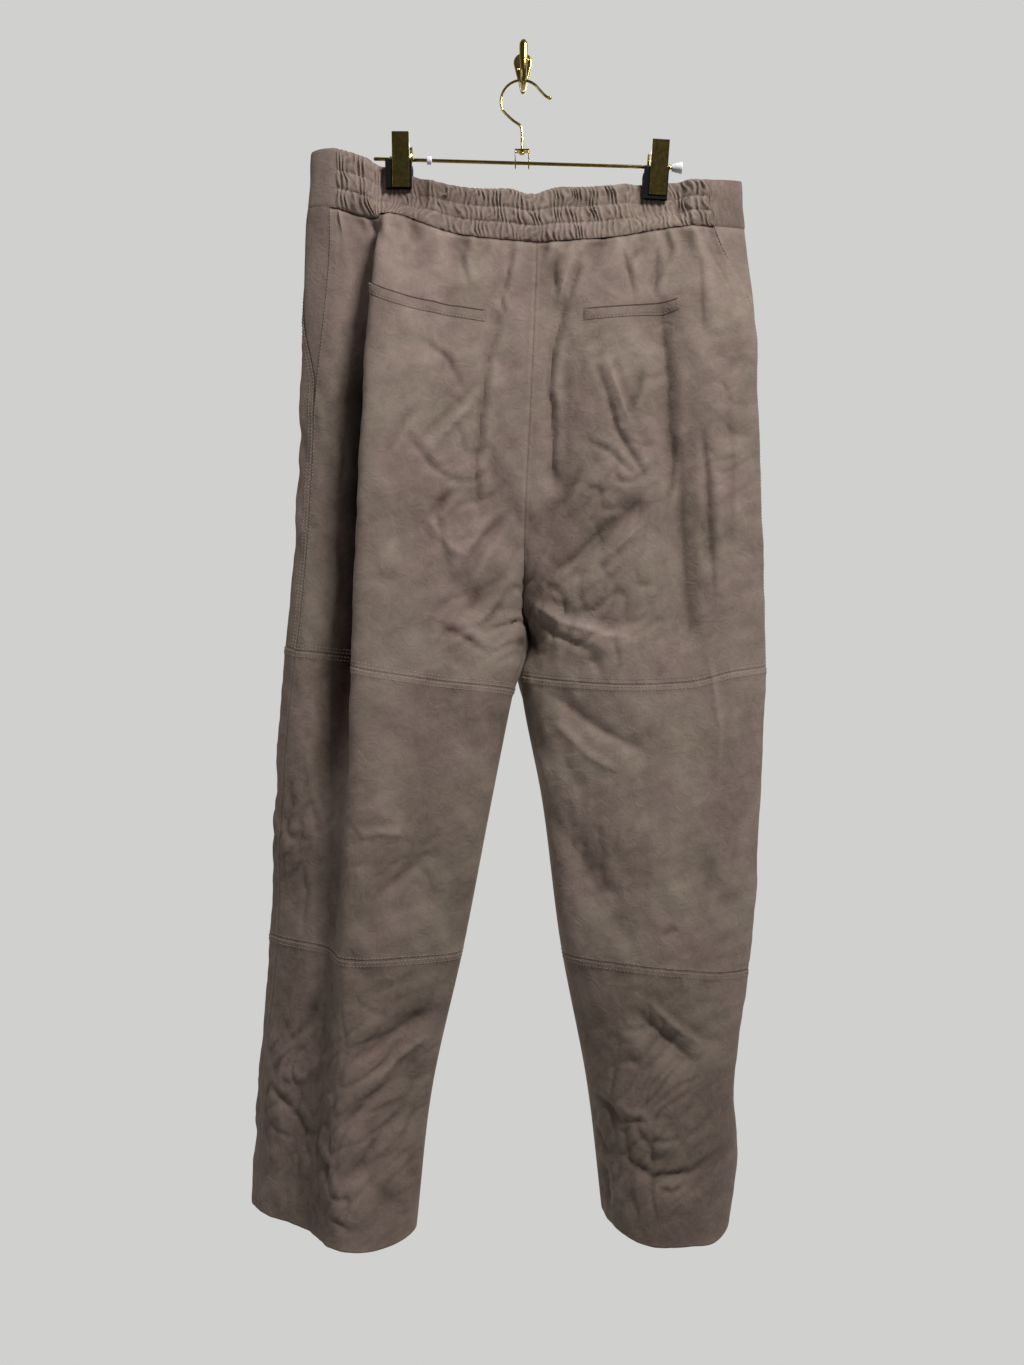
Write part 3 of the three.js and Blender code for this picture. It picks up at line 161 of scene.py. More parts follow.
# Creases of the back: half width, rise (below nought is a trough), then the route as x, down pairs.
BACK_CREASES = [
    (4.5, -3.2, [(-22, 264), (-35, 316), (-42, 380), (-47, 422), (-44, 469)]),
    (3.0, -1.6, [(-23, 247), (-20, 271)]),
    (4.0, -2.2, [(34, 205), (29, 224), (31, 253)]),
    (4.5, -3.0, [(41, 244), (37, 271), (28, 305), (24, 346), (27, 360), (28, 441)]),
    (6.0, -2.6, [(135, 260), (142, 334), (142, 436)]),
    (7.0, -3.0, [(155, 395), (153, 444), (155, 500), (158, 539), (160, 585)]),
    (5.0, -1.8, [(173, 213), (174, 290)]),
    (6.0, -3.4, [(114, 454), (78, 490), (40, 534)]),
    (4.5, 1.6, [(120, 470), (92, 500), (66, 541)]),
    (5.0, -3.0, [(-13, 517), (-33, 543), (-57, 562)]),
    (4.0, 1.4, [(-24, 548), (-48, 578), (-78, 598)]),
    (5.0, -1.9, [(-86, 574), (-60, 585), (-35, 603)]),
    (6.0, 2.4, [(-3, 543), (35, 570), (72, 582), (104, 589)]),
    (5.0, -2.0, [(2, 560), (30, 584), (66, 600)]),
    (6.0, -1.4, [(20, 637), (73, 676), (122, 700)]),
    (5.0, 1.6, [(30, 668), (64, 702), (92, 716)]),
    (4.0, -2.2, [(-208, 748), (-202, 782)]),
    (4.0, -2.2, [(-181, 751), (-202, 782)]),
    (5.0, 1.8, [(-156, 777), (-137, 772), (-118, 775)]),
    (6.0, -2.0, [(-91, 792), (-108, 808), (-141, 835)]),
    (9.0, -0.8, [(20, 743), (52, 798), (102, 883)]),
    (6.0, -2.0, [(131, 874), (146, 864)]),
    (6.0, -2.0, [(-87, 947), (-120, 964), (-160, 989)]),
    (4.0, 2.2, [(-94, 972), (-118, 988), (-142, 1011)]),
    (5.0, -2.6, [(-133, 1016), (-150, 1030), (-174, 1052)]),
    (5.0, -2.0, [(-115, 1036), (-136, 1062), (-160, 1095)]),
    (6.0, -2.4, [(-245, 955), (-226, 986)]),
    (5.0, -2.4, [(-250, 1034), (-220, 1059), (-215, 1067), (-196, 1067)]),
    (5.0, -2.4, [(-202, 1075), (-189, 1092), (-184, 1114)]),
    (4.0, -1.8, [(-185, 1116), (-164, 1118)]),
    (4.0, -1.8, [(-183, 1135), (-164, 1146)]),
    (5.0, -1.6, [(108, 947), (132, 966), (160, 991)]),
    (4.0, 1.6, [(118, 934), (146, 960), (168, 974)]),
    (6.0, -3.0, [(66, 1030), (80, 1042), (96, 1055)]),
    (4.0, -1.8, [(96, 1051), (117, 1048)]),
    (5.0, -2.0, [(92, 1082), (123, 1103), (160, 1098), (188, 1078)]),
    (4.0, -1.8, [(126, 1110), (140, 1115), (156, 1107)]),
    (5.0, -3.6, [(78, 1096), (81, 1118), (84, 1146)]),
    (5.0, 1.3, [(-100, 1098), (-112, 1126), (-110, 1152)]),
    (5.0, -1.6, [(50, 470), (66, 452), (88, 440)]),
    (4.0, -1.5, [(60, 395), (84, 408), (108, 430)]),
    (4.0, -1.3, [(-100, 300), (-74, 318), (-58, 350)]),
    (5.0, -1.5, [(-112, 392), (-88, 424), (-62, 440)]),
    (5.0, 1.3, [(-96, 470), (-72, 500), (-52, 508)]),
    (4.0, -1.5, [(-70, 430), (-84, 468), (-74, 520)]),
    (5.0, -1.6, [(196, 330), (204, 420), (201, 500)]),
    (5.0, 1.4, [(178, 600), (190, 676), (186, 742)]),
    (5.0, -1.6, [(182, 800), (170, 858)]),
    # Folds that fall from the gathers, and slanting wrinkles across the seat.
    (4.0, -2.6, [(-11, 207), (-16, 228), (-20, 252)]), (4.5, 2.4, [(48, 208), (40, 236), (34, 262)]),
    (4.5, -2.8, [(57, 210), (50, 232), (42, 252)]), (3.5, -2.2, [(97, 208), (103, 226), (107, 252)]),
    (3.5, -2.0, [(113, 206), (107, 216), (101, 228)]), (4.0, -2.2, [(132, 203), (130, 226), (128, 252)]),
    (4.5, -2.6, [(148, 198), (136, 222), (123, 246)]), (4.0, -2.2, [(181, 199), (196, 224), (209, 252)]),
    (3.5, -1.8, [(-64, 204), (-59, 224), (-54, 246)]), (3.5, -2.0, [(-106, 196), (-113, 208), (-120, 222)]),
    (4.5, -2.4, [(-104, 366), (-120, 388), (-136, 420)]),
    (4.5, -2.6, [(-42, 338), (-66, 364), (-86, 384), (-110, 412)]),
    (4.5, 2.0, [(-50, 362), (-78, 392), (-98, 420)]), (4.5, -2.4, [(-64, 442), (-80, 458), (-100, 482)]),
    (5.0, -3.0, [(-14, 462), (-40, 498), (-64, 544)]), (4.5, 2.2, [(-26, 462), (-54, 500), (-76, 536)]),
    (4.5, -2.6, [(68, 318), (80, 348), (90, 384), (118, 432)]),
    (4.0, 2.0, [(80, 316), (92, 350), (106, 388)]),
    (4.5, -2.6, [(117, 324), (108, 352), (95, 384)]),
    (4.5, -2.6, [(145, 380), (147, 412), (144, 440), (134, 474)]),
    (4.5, -2.8, [(90, 470), (68, 490), (50, 508), (26, 528)]),
    (4.5, -2.4, [(104, 492), (86, 510), (68, 530)]),
    (4.5, -2.6, [(56, 422), (44, 442), (32, 460), (18, 482)]),
    (5.0, -2.4, [(173, 380), (178, 430), (180, 480), (184, 550)]),
    (4.5, -2.2, [(-232, 640), (-226, 690), (-234, 742)]),
    (4.5, -2.2, [(-196, 600), (-204, 650), (-196, 700)]),
    (4.5, -3.4, [(-204, 300), (-196, 356), (-206, 420), (-202, 470)]),
    (4.5, 3.0, [(-212, 330), (-206, 380), (-214, 440)]), (4.0, -2.6, [(-186, 350), (-178, 410), (-188, 462)]),
    (4.0, 2.6, [(-190, 480), (-184, 530), (-192, 580)]), (4.5, 2.8, [(-206, 640), (-214, 700), (-204, 760)]),
    (4.0, -2.6, [(-222, 800), (-214, 840), (-220, 876)]),
    (4.5, -2.8, [(-196, 930), (-212, 964), (-236, 990)]),
    (4.5, 2.4, [(-190, 990), (-214, 1016), (-232, 1024)]),
]

# Where fine wrinkles lie thick. Columns: x, down, half width, half height, strength.
CRUMPLED = np.array([
    [84, 436, 46, 44, 1.0], [-52, 440, 34, 60, 0.8], [24, 560, 60, 44, 1.0], [-46, 580, 46, 44, 0.9],
    [92, 560, 50, 60, 0.7], [-232, 770, 26, 60, 1.0], [-118, 800, 60, 44, 0.6], [70, 800, 50, 60, 0.45],
    [-130, 985, 60, 60, 0.9], [-150, 1090, 60, 60, 1.0], [-238, 1030, 30, 90, 0.9], [130, 985, 50, 50, 0.8],
    [110, 1085, 60, 60, 1.0], [-214, 250, 18, 80, 0.4], [200, 420, 30, 110, 0.5], [110, 330, 60, 50, 0.35],
    [-100, 340, 50, 60, 0.35],
], float)

# Similar creases of the hidden front, placed the same way.
FRONT_CREASES = [
    (8.0, -3.0, [(30, 500), (74, 470), (110, 452)]), (8.0, -3.0, [(-28, 505), (-70, 476), (-104, 460)]),
    (7.0, -2.6, [(24, 548), (60, 540), (108, 548)]), (7.0, -2.6, [(-26, 552), (-70, 546), (-112, 556)]),
    (9.0, -2.6, [(-150, 300), (-156, 380), (-150, 460)]), (9.0, -2.6, [(150, 310), (158, 392), (152, 470)]),
    (8.0, -3.0, [(-70, 860), (-120, 890), (-170, 900)]), (8.0, -3.0, [(70, 880), (110, 902), (160, 908)]),
    (6.0, 2.0, [(-90, 910), (-140, 926), (-190, 930)]), (6.0, 2.0, [(80, 932), (120, 944), (170, 940)]),
    (7.0, -2.6, [(-120, 1040), (-160, 1066), (-210, 1070)]),
    (7.0, -2.6, [(90, 1050), (126, 1076), (164, 1080)]),
    (6.0, -2.2, [(-150, 1100), (-196, 1122)]), (6.0, -2.2, [(104, 1106), (150, 1124)]),
]

# Stations where the slant pocket mouth crosses the front hip panel, from the waist seam down in equal steps.
MOUTH_STATIONS = [5.65, 5.35, 5.06, 4.6, 4.05, 4.0]
MOUTH_STEP_SHARE = 1 / 9

# The two clips: side, place along the bar, tilt, pad width, pad shift, pad drop, side of the wire loop.
CLIPS = [
    ("left", -121.5, 0.0, 26.0, -2.5, 0.0, 1.0),
    ("right", 134.5, 0.056, 24.0, -2.0, 3.4, -1.0),
]
JAW_BOTTOM = -31.0
PINCH_FLAT = 18.0
PINCH_FADE = 16.0
PINCH_BELOW = 8.0
PINCH_BELOW_FADE = 26.0


def linear_colour(text):
    """An sRGB hex colour as linear red, green, blue and alpha."""
    values = [int(text[start:start + 2], 16) / 255 for start in (1, 3, 5)]
    return [v / 12.92 if v <= 0.04045 else ((v + 0.055) / 1.055) ** 2.4 for v in values] + [1.0]


def cubic(start, start_slope, end, end_slope, t):
    """The cubic that leaves start and reaches end with the given slopes as t runs from 0 to 1."""
    squared = t * t
    cubed = squared * t
    return (start * (2 * cubed - 3 * squared + 1) + start_slope * (cubed - 2 * squared + t)
            + end * (3 * squared - 2 * cubed) + end_slope * (cubed - squared))


def step_between(low, high, value):
    """Runs softly from 0 at low to 1 at high."""
    t = np.clip((value - low) / (high - low), 0, 1)
    return t * t * (3 - 2 * t)


def bell(value, half_width):
    """1 at nought, falling softly to both sides: exp(-(value / half_width)^2)."""
    return np.exp(-((value / half_width) ** 2))


def through_rows(places, values, at):
    """A cubic between each two rows, whose slope at a row is that of the line between its neighbours."""
    places = np.asarray(places, float)
    values = np.asarray(values, float)
    count = len(places)
    before = np.maximum(np.arange(count) - 1, 0)
    after = np.minimum(np.arange(count) + 1, count - 1)
    slopes = (values[after] - values[before]) / (places[after] - places[before])
    at = np.clip(at, places[0], places[-1])
    low = np.clip(np.searchsorted(places, at, side="right") - 1, 0, count - 2)
    span = places[low + 1] - places[low]
    share = (at - places[low]) / span
    return cubic(values[low], slopes[low] * span, values[low + 1], slopes[low + 1] * span, share)


def soft_noise(a, b, size, seed):
    """Uneven waves about nought: seven cosines in turned directions, whose lengths vary about the size."""
    turn = np.random.default_rng(seed)
    total = np.zeros(np.broadcast(a, b).shape)
    for _ in range(7):
        angle, phase = turn.uniform(0, math.pi), turn.uniform(0, 2 * math.pi)
        length = size * turn.uniform(0.7, 1.7)
        total = total + np.cos(2 * math.pi * (a * math.cos(angle) + b * math.sin(angle)) / length + phase)
    return total / 7 ** 0.5 / 1.2


def bar_down(x):
    """How far down the bar's middle lies at x: it hangs a little lower on the right."""
    return BAR_LEFT_DOWN + BAR_SLOPE * (x - BAR_LEFT)


def pinch_at(x, down):
    """Share by which a clip presses the band flat: 1 between its jaws, falling softly to 0 around them."""
    share = np.zeros(np.broadcast(x, down).shape)
    for _, clip_x, _, _, pad_shift, pad_drop, _ in CLIPS:
        bottom = bar_down(clip_x) - JAW_BOTTOM + pad_drop + PINCH_BELOW
        across = 1 - step_between(PINCH_FLAT, PINCH_FLAT + PINCH_FADE, np.abs(x - clip_x - pad_shift / 2))
        share = np.maximum(share, across * (1 - step_between(bottom, bottom + PINCH_BELOW_FADE, down)))
    return share


def turn_at(down):
    """How far the section's ends have turned from the centre seams, 0, to the inseams, 1."""
    return step_between(TURN_START_DOWN, TURN_END_DOWN, down)


def section(half, down, centre_gap):
    """The nine points across one half at each distance down, and the unit slope of the curve at each."""
    shift = TOWARDS[half] * centre_gap / 2
    leg, rows = INSEAM[half], LINES[half]
    points = np.empty(down.shape + (9, 2))
    for column in (0, 1):
        move = shift if column == 0 else 0.0
        leg_side = through_rows(leg[:, 0], leg[:, column + 1], down)
        back = through_rows(BACK_SEAM[:, 0], BACK_SEAM[:, column + 1], down)
        front = through_rows(FRONT_SEAM[:, 0], FRONT_SEAM[:, column + 1], down)
        points[..., 0, column] = np.where(down < CROTCH_DOWN, back, leg_side) + move
        points[..., 8, column] = np.where(down < CROTCH_DOWN, front, leg_side) + move
        for station in range(1, 8):
            points[..., station, column] = through_rows(rows[:, 0], rows[:, 2 * station - 1 + column], down)
    steps = np.diff(points, axis=-2)
    lengths = np.linalg.norm(steps, axis=-1, keepdims=True)
    before, after = lengths[..., :-1, :], lengths[..., 1:, :]
    slopes = np.empty_like(points)
    slopes[..., 1:8, :] = steps[..., :-1, :] * after / before + steps[..., 1:, :] * before / after
    slopes[..., 1:8, :] /= before + after
    angle = turn_at(down) * math.pi / 2
    slopes[..., 0, 0], slopes[..., 0, 1] = TOWARDS[half] * np.cos(angle), np.sin(angle)
    slopes[..., 8, 0], slopes[..., 8, 1] = -TOWARDS[half] * np.cos(angle), np.sin(angle)
    return points, slopes


def on_section(points, slopes, station):
    """The place on the section curve at a station: the cubic between the two stations beside it."""
    low = np.clip(np.floor(station).astype(int), 0, 7)

    def pick(array, index):
        return np.take_along_axis(array, index[..., None, None], axis=-2)[..., 0, :]

    start, end = pick(points, low), pick(points, low + 1)
    chord = np.linalg.norm(end - start, axis=-1, keepdims=True)
    first, last = pick(slopes, low) * chord, pick(slopes, low + 1) * chord
    return cubic(start, first, end, last, (station - low)[..., None])


def fold_rise(x, down, station):
    """The large folds of the solids: a bell across each line, faded at its ends and at the panel's seams."""
    rise = np.zeros(x.shape)
    for from_x, from_down, to_x, to_down, width, height in FOLDS:
        run_x, run_down = to_x - from_x, to_down - from_down
        length = math.hypot(run_x, run_down)
        along = ((x - from_x) * run_x + (down - from_down) * run_down) / length
        across = ((x - from_x) * run_down - (down - from_down) * run_x) / length
        begun = step_between(-width, width, along)
        inside = begun * (1 - step_between(length - width, length + width, along))
        rise += height * inside * bell(across, width)
    return rise * fade_to_edges(down, station)


# Stations between which the back's folds fade to the side seam, and the one by which they leave the inseam.
SIDE_FADE = (SIDE - 1.2, SIDE - 0.2)
INSEAM_FADE = 0.6


def fade_to_edges(down, station):
    """1 in the middle of the back, falling to 0 at the side seam and on the inseam."""
    side = 1 - step_between(*SIDE_FADE, station)
    inseam = 1 - turn_at(down) * (1 - step_between(0, INSEAM_FADE, station))
    return side * inseam


# Section of a crease in half widths: its peak's steepness, bluntness and height, then the place, half width
# and height of the bell beside it, and the least that is left of it at its ends.
PEAK_STEEPNESS, PEAK_BLUNTNESS, PEAK_HEIGHT = 1.7, 0.05, 1.45
BESIDE_AT, BESIDE_WIDTH, BESIDE_HEIGHT = 1.9, 1.3, 0.45
LEAST_TAPER = 0.08


def crease_rise(x, down, creases):
    """A peak across each route, exp(-steepness ((d / w)^2 + bluntness)^0.5), so that its bottom is sharp and
    its flanks long, with a lower bell of the other sign beside it. Both are tapered to both ends."""
    rise = np.zeros(x.shape)
    for width, height, route in creases:
        route = np.array(route, float)
        low, high = route.min(0) - 4 * width, route.max(0) + 4 * width
        near = (x > low[0]) & (x < high[0]) & (down > low[1]) & (down < high[1])
        if not near.any():
            continue
        px, py = x[near], down[near]
        steps = np.diff(route, axis=0)
        lengths = np.linalg.norm(steps, axis=1)
        starts = np.concatenate([[0], np.cumsum(lengths)])
        best = np.full(px.shape, 1e9)
        signed, share = np.zeros(px.shape), np.zeros(px.shape)
        for start, step, length, begun in zip(route[:-1], steps, lengths, starts):
            away_x, away_y = px - start[0], py - start[1]
            t = np.clip((away_x * step[0] + away_y * step[1]) / length ** 2, 0, 1)
            distance = np.hypot(away_x - t * step[0], away_y - t * step[1])
            side = np.sign(away_x * step[1] - away_y * step[0])
            closer = distance < best
            best = np.where(closer, distance, best)
            signed = np.where(closer, distance * side, signed)
            share = np.where(closer, (begun + t * length) / starts[-1], share)
        peak = np.exp(-PEAK_STEEPNESS * np.sqrt((signed / width) ** 2 + PEAK_BLUNTNESS))
        beside = bell(signed - BESIDE_AT * width, BESIDE_WIDTH * width)
        taper = np.clip(4 * share * (1 - share), 0, 1) ** 0.6
        fade = np.exp(-((best / (3 * width)) ** 4))
        shape = (PEAK_HEIGHT * peak - BESIDE_HEIGHT * beside) * np.maximum(taper, LEAST_TAPER)
        rise[near] += height * shape * fade
    return rise


def level(half, name, station):
    """How far down a seam or cut edge lies at a station."""
    stations, downs = LEVELS[half][name]
    return through_rows(stations, downs, station)


EDGE_STEPS = (0.8, 1.8, 3.4, 5.4)


def graded(count, length):
    """Shares from 0 to 1 in equal steps, with finer ones at both ends for the turned edges."""
    fine = np.array(EDGE_STEPS) / length
    return np.concatenate([[0], fine, np.linspace(fine[-1], 1 - fine[-1], count)[1:-1], 1 - fine[::-1], [1]])


def station_list(first, counts, lengths):
    """Stations in equal steps for each stretch, with finer ones at the first and the last."""
    shares = []
    last = len(counts) - 1
    for index, (count, length) in enumerate(zip(counts, lengths)):
        inside = np.linspace(0, 1, count + 1)
        fine = np.array(EDGE_STEPS[:3]) / length
        if index == 0:
            inside = np.concatenate([[0], fine, inside[2:]])
        if index == last:
            inside = np.concatenate([inside[:-2], 1 - fine[::-1], [1]])
        shares.append(first + index + inside[(0 if index == 0 else 1):])
    return np.concatenate(shares)


def cloth_grid(half, station, down, centre_gap=CENTRE_GAP):
    """Points, outward directions and slopes of the bare cloth as x and out, with the large folds of the
    solids, and the share by which the clips press it flat."""
    points, slopes = section(half, down, centre_gap)
    place = on_section(points, slopes, station)
    ahead = on_section(points, slopes, np.minimum(station + STATION_STEP, FRONT))
    behind = on_section(points, slopes, np.maximum(station - STATION_STEP, CENTRE))
    slope = ahead - behind
    slope /= np.linalg.norm(slope, axis=-1, keepdims=True)
    outward = np.stack([-slope[..., 1], slope[..., 0]], axis=-1) * TOWARDS[half]
    pinch = pinch_at(place[..., 0], down)
    back = station < SIDE
    place[..., 1] += (np.where(back, BACK_BAND_OUT, FRONT_BAND_OUT) - place[..., 1]) * pinch
    flat = np.stack([np.zeros(down.shape), np.where(back, 1.0, -1.0)], axis=-1)
    outward = outward + (flat - outward) * pinch[..., None]
    outward /= np.linalg.norm(outward, axis=-1, keepdims=True)
    rise = np.where(back, fold_rise(place[..., 0], down, station), 0.0)
    place = place + outward * rise[..., None]
    return place, outward, slope, pinch


def lifted(place, down, outward, rise):
    """x, y, z in millimetres of the cloth's points moved out by the rise."""
    moved = place + outward * rise[..., None]
    return np.stack([moved[..., 0], -moved[..., 1], -down], axis=-1)


def grid_normals(points, like):
    """Unit normals of a grid from its own steps, turned to the side of the given directions."""
    rows = np.gradient(points, axis=0)
    columns = np.gradient(points, axis=1)
    normals = np.cross(rows, columns)
    normals /= np.maximum(np.linalg.norm(normals, axis=-1, keepdims=True), 1e-9)
    return normals * np.sign(np.sum(normals * like, axis=-1, keepdims=True))


def grid_faces(rows, columns):
    """Quads of a grid whose points are numbered row by row."""
    grid = np.arange(rows * columns).reshape(rows, columns)
    return np.stack([grid[:-1, :-1], grid[1:, :-1], grid[1:, 1:], grid[:-1, 1:]], axis=-1).reshape(-1, 4)


def shell_faces(rows, columns):
    """Quads of a closed shell made of an outer grid, an inner grid and the rim between them."""
    index = np.arange(rows * columns).reshape(rows, columns)
    back = index + rows * columns
    quads = grid_faces(rows, columns)

    def rim(line, behind):
        return np.stack([line[:-1], behind[:-1], behind[1:], line[1:]], axis=-1)

    return np.concatenate([
        quads, quads[:, ::-1] + rows * columns,
        rim(index[:, 0], back[:, 0]), rim(index[:, -1], back[:, -1])[:, ::-1],
        rim(index[0], back[0])[:, ::-1], rim(index[-1], back[-1]),
    ])


def faces_outwards(points, faces):
    """The same faces, all turned round if the closed shape they bound has a volume below nought."""
    volume = 0.0
    for third in range(2, faces.shape[1]):
        a, b, c = points[faces[:, 0]], points[faces[:, third - 1]], points[faces[:, third]]
        volume += np.sum(a * np.cross(b, c))
    return faces if volume > 0 else faces[:, ::-1]


SHARP_ANGLE = 55.0


def add_piece(name, points, faces, material, slot, replaces=(), wear=None):
    """A mesh object of points in millimetres and faces of one size, which rides on the body."""
    mesh = bpy.data.meshes.new(name)
    faces = np.ascontiguousarray(faces_outwards(points, faces))
    mesh.vertices.add(len(points))
    mesh.vertices.foreach_set("co", (points * MM).ravel())
    mesh.loops.add(faces.size)
    mesh.loops.foreach_set("vertex_index", faces.ravel())
    mesh.polygons.add(len(faces))
    mesh.polygons.foreach_set("loop_start", np.arange(0, faces.size, faces.shape[1]))
    mesh.update(calc_edges=True)
    mesh.validate()
    mesh.polygons.foreach_set("use_smooth", np.ones(len(mesh.polygons), bool))
    mesh.set_sharp_from_angle(angle=math.radians(SHARP_ANGLE))
    # The point attribute below holds the leather's own tones and brushed patches, and also painted shade and
    # painted highlight on creases, folds, seams and hollows.
    if wear is not None:
        tone_and_shade_attribute = mesh.attributes.new("wear", "FLOAT", "POINT")
        tone_and_shade_attribute.data.foreach_set("value", wear.ravel())
    mesh.materials.append(material)
    piece = bpy.data.objects.new(name, mesh)
    bpy.context.scene.collection.objects.link(piece)
    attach(piece, "root")
    if replaces:
        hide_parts(*replaces)
    return piece


def node(tree, kind, settings=None, inputs=None):
    """Adds one shader node, with its settings and with values or links for its inputs."""
    made = tree.nodes.new(kind)
    for key, value in (settings or {}).items():
        setattr(made, key, value)
    for key, value in (inputs or {}).items():
        if isinstance(value, bpy.types.NodeSocket):
            tree.links.new(value, made.inputs[key])
        else:
            made.inputs[key].default_value = value
    return made


def ramp(tree, factor, places, colours):
    """A colour ramp through sRGB hex colours at the given places."""
    made = node(tree, "ShaderNodeValToRGB", inputs={"Fac": factor})
    elements = made.color_ramp.elements
    while len(elements) < len(places):
        elements.new(0.5)
    for element, place, colour in zip(elements, places, colours):
        element.position = place
        element.color = linear_colour(colour)
    return made.outputs["Color"]


def grain(tree, place, size, detail, **more):
    """Noise with lumps of about the given size in metres."""
    inputs = {"Vector": place, "Scale": 1 / size, "Detail": detail}
    inputs.update({key.title(): value for key, value in more.items()})
    return node(tree, "ShaderNodeTexNoise", inputs=inputs).outputs["Fac"]


def maths(tree, operation, *values):
    """The result of a sum on one to three values."""
    return node(tree, "ShaderNodeMath", {"operation": operation}, dict(enumerate(values))).outputs[0]


def mapped(tree, value, low, high, to_low=0.0, to_high=1.0):
    """The value moved from one range to another, and kept inside it."""
    made = node(tree, "ShaderNodeMapRange", inputs={
        "Value": value, "From Min": low, "From Max": high, "To Min": to_low, "To Max": to_high})
    return made.outputs["Result"]


def bumped(tree, height, strength, distance, **more):
    """Normals bent by a height, whose full rise is the distance in metres."""
    inputs = {"Strength": strength, "Distance": distance, "Height": height}
    inputs.update({key.title(): value for key, value in more.items()})
    return node(tree, "ShaderNodeBump", inputs=inputs).outputs["Normal"]


def start_material(name, values):
    """A material with the given constant values on its shader, its tree, shader and object coordinates."""
    made = bpy.data.materials.new(name)
    made.use_nodes = True
    tree = made.node_tree
    shader = tree.nodes["Principled BSDF"]
    for key, value in values.items():
        shader.inputs[key].default_value = value
    return made, tree, shader, node(tree, "ShaderNodeTexCoord").outputs["Object"]


# Where the near-black of the painted shadows and the nap's dark, middle and light colours lie in its range
# of shades.
NAP_RANGE = (-0.4, 1.42)
NAP_PLACES = (0.0, 0.44, 0.72, 1.0)
TWO_PLACES = (0.2, 0.8)


def suede_material():
    """Brushed suede: leather buffed on its flesh side, so its short nap scatters light and lies light or dark
    in brushed patches. The nap is drawn at 1.2 mm, three times its real 0.4 mm, so that it shows."""
    settings = bpy.context.scene.trousers_cloth
    made, tree, shader, place = start_material("brushed suede leather", {
        "Roughness": 0.92, "Specular IOR Level": 0.22, "Sheen Weight": 0.12, "Sheen Roughness": 0.55,
        "Sheen Tint": linear_colour("#b9aaa0")})
    patch = grain(tree, place, 0.07, 4.0, roughness=0.6, distortion=0.8)
    streak = grain(tree, place, 0.012, 6.0, roughness=0.7, distortion=1.0)
    nap = grain(tree, place, 0.0012, 2.0)
    dye = grain(tree, place, 0.11, 3.0, distortion=1.2)
    pores = grain(tree, place, 0.0035, 5.0, roughness=0.65)
    # The point attribute read here: the skins' tones and brushed patches, with painted shade and painted
    # highlight.
    tone_and_shade_attribute = node(tree, "ShaderNodeAttribute", {"attribute_name": "wear"}).outputs["Fac"]
    shade = maths(tree, "ADD", maths(tree, "MULTIPLY_ADD", streak, 0.6, patch), tone_and_shade_attribute)
    shade = mapped(tree, maths(tree, "MULTIPLY_ADD", nap, 0.22, shade), *NAP_RANGE)
    naps = (settings.dark_nap, settings.middle_nap, settings.light_nap)
    # The first colour of both ramps is the near-black of the painted shadows in folds, grooves and hollows.
    rosy = ramp(tree, shade, NAP_PLACES, ("#17110f", *naps))
    grey = ramp(tree, shade, NAP_PLACES, ("#15120f", "#544d45", "#78705f", "#918a7a"))
    share = mapped(tree, dye, 0.38, 0.64, 0.0, 0.4)
    colour = node(tree, "ShaderNodeMix", {"data_type": "RGBA"}, {0: share, 6: rosy, 7: grey}).outputs[2]
    tree.links.new(colour, shader.inputs["Base Color"])
    rough = bumped(tree, pores, 0.5, 0.0006)
    tree.links.new(bumped(tree, streak, 0.5, 0.0024, normal=rough), shader.inputs["Normal"])
    return made


def thread_material():
    """Polyester sewing thread in the leather's own colour: twisted, so it is matt with a faint gloss."""
    made, tree, shader, place = start_material("polyester thread", {"Roughness": 0.7})
    twist = grain(tree, place, 0.0006, 1.0)
    tree.links.new(ramp(tree, twist, TWO_PLACES, ("#7a6c60", "#a8998c")), shader.inputs["Base Color"])
    return made


def brass_material():
    """Polished brass plate: bright and gold, with fine rubbing marks that dull it here and there."""
    settings = bpy.context.scene.trousers_hanger
    made, tree, shader, place = start_material("polished brass plating", {"Metallic": 1.0})
    marks = grain(tree, place, 0.004, 6.0, roughness=0.7)
    colour = ramp(tree, marks, (0.25, 0.7), (settings.brass_dark, settings.brass_light))
    tree.links.new(colour, shader.inputs["Base Color"])
    tree.links.new(mapped(tree, marks, 0.0, 1.0, 0.1, 0.2), shader.inputs["Roughness"])
    edge = node(tree, "ShaderNodeBevel", inputs={"Radius": settings.edge_radius * MM}).outputs["Normal"]
    tree.links.new(bumped(tree, marks, 0.05, 0.0002, normal=edge), shader.inputs["Normal"])
    return made


def rubber_material():
    """Moulded black rubber: matt, with a fine spark-eroded grain of about 0.5 mm."""
    made, tree, shader, place = start_material("moulded black rubber", {
        "Roughness": 0.82, "Specular IOR Level": 0.12})
    sparks = grain(tree, place, 0.0005, 2.0)
    tree.links.new(ramp(tree, sparks, TWO_PLACES, ("#08090b", "#14151a")), shader.inputs["Base Color"])
    tree.links.new(bumped(tree, sparks, 0.35, 0.0002), shader.inputs["Normal"])
    return made


def plastic_material():
    """Moulded polythene: milky and slightly see-through, with a soft gloss."""
    made, tree, shader, place = start_material("moulded polythene", {
        "Roughness": 0.34, "IOR": 1.5, "Subsurface Weight": 0.4, "Subsurface Scale": 0.003})
    cloud = grain(tree, place, 0.003, 2.0)
    tree.links.new(ramp(tree, cloud, TWO_PLACES, ("#d4d9e6", "#eef1f8")), shader.inputs["Base Color"])
    return made


MAKERS = {
    "suede": suede_material, "thread": thread_material, "brass": brass_material, "rubber": rubber_material,
    "plastic": plastic_material,
}
FINISHES = {}


def finish(name):
    """The material of that name, made once."""
    if name not in FINISHES:
        FINISHES[name] = MAKERS[name]()
    return FINISHES[name]


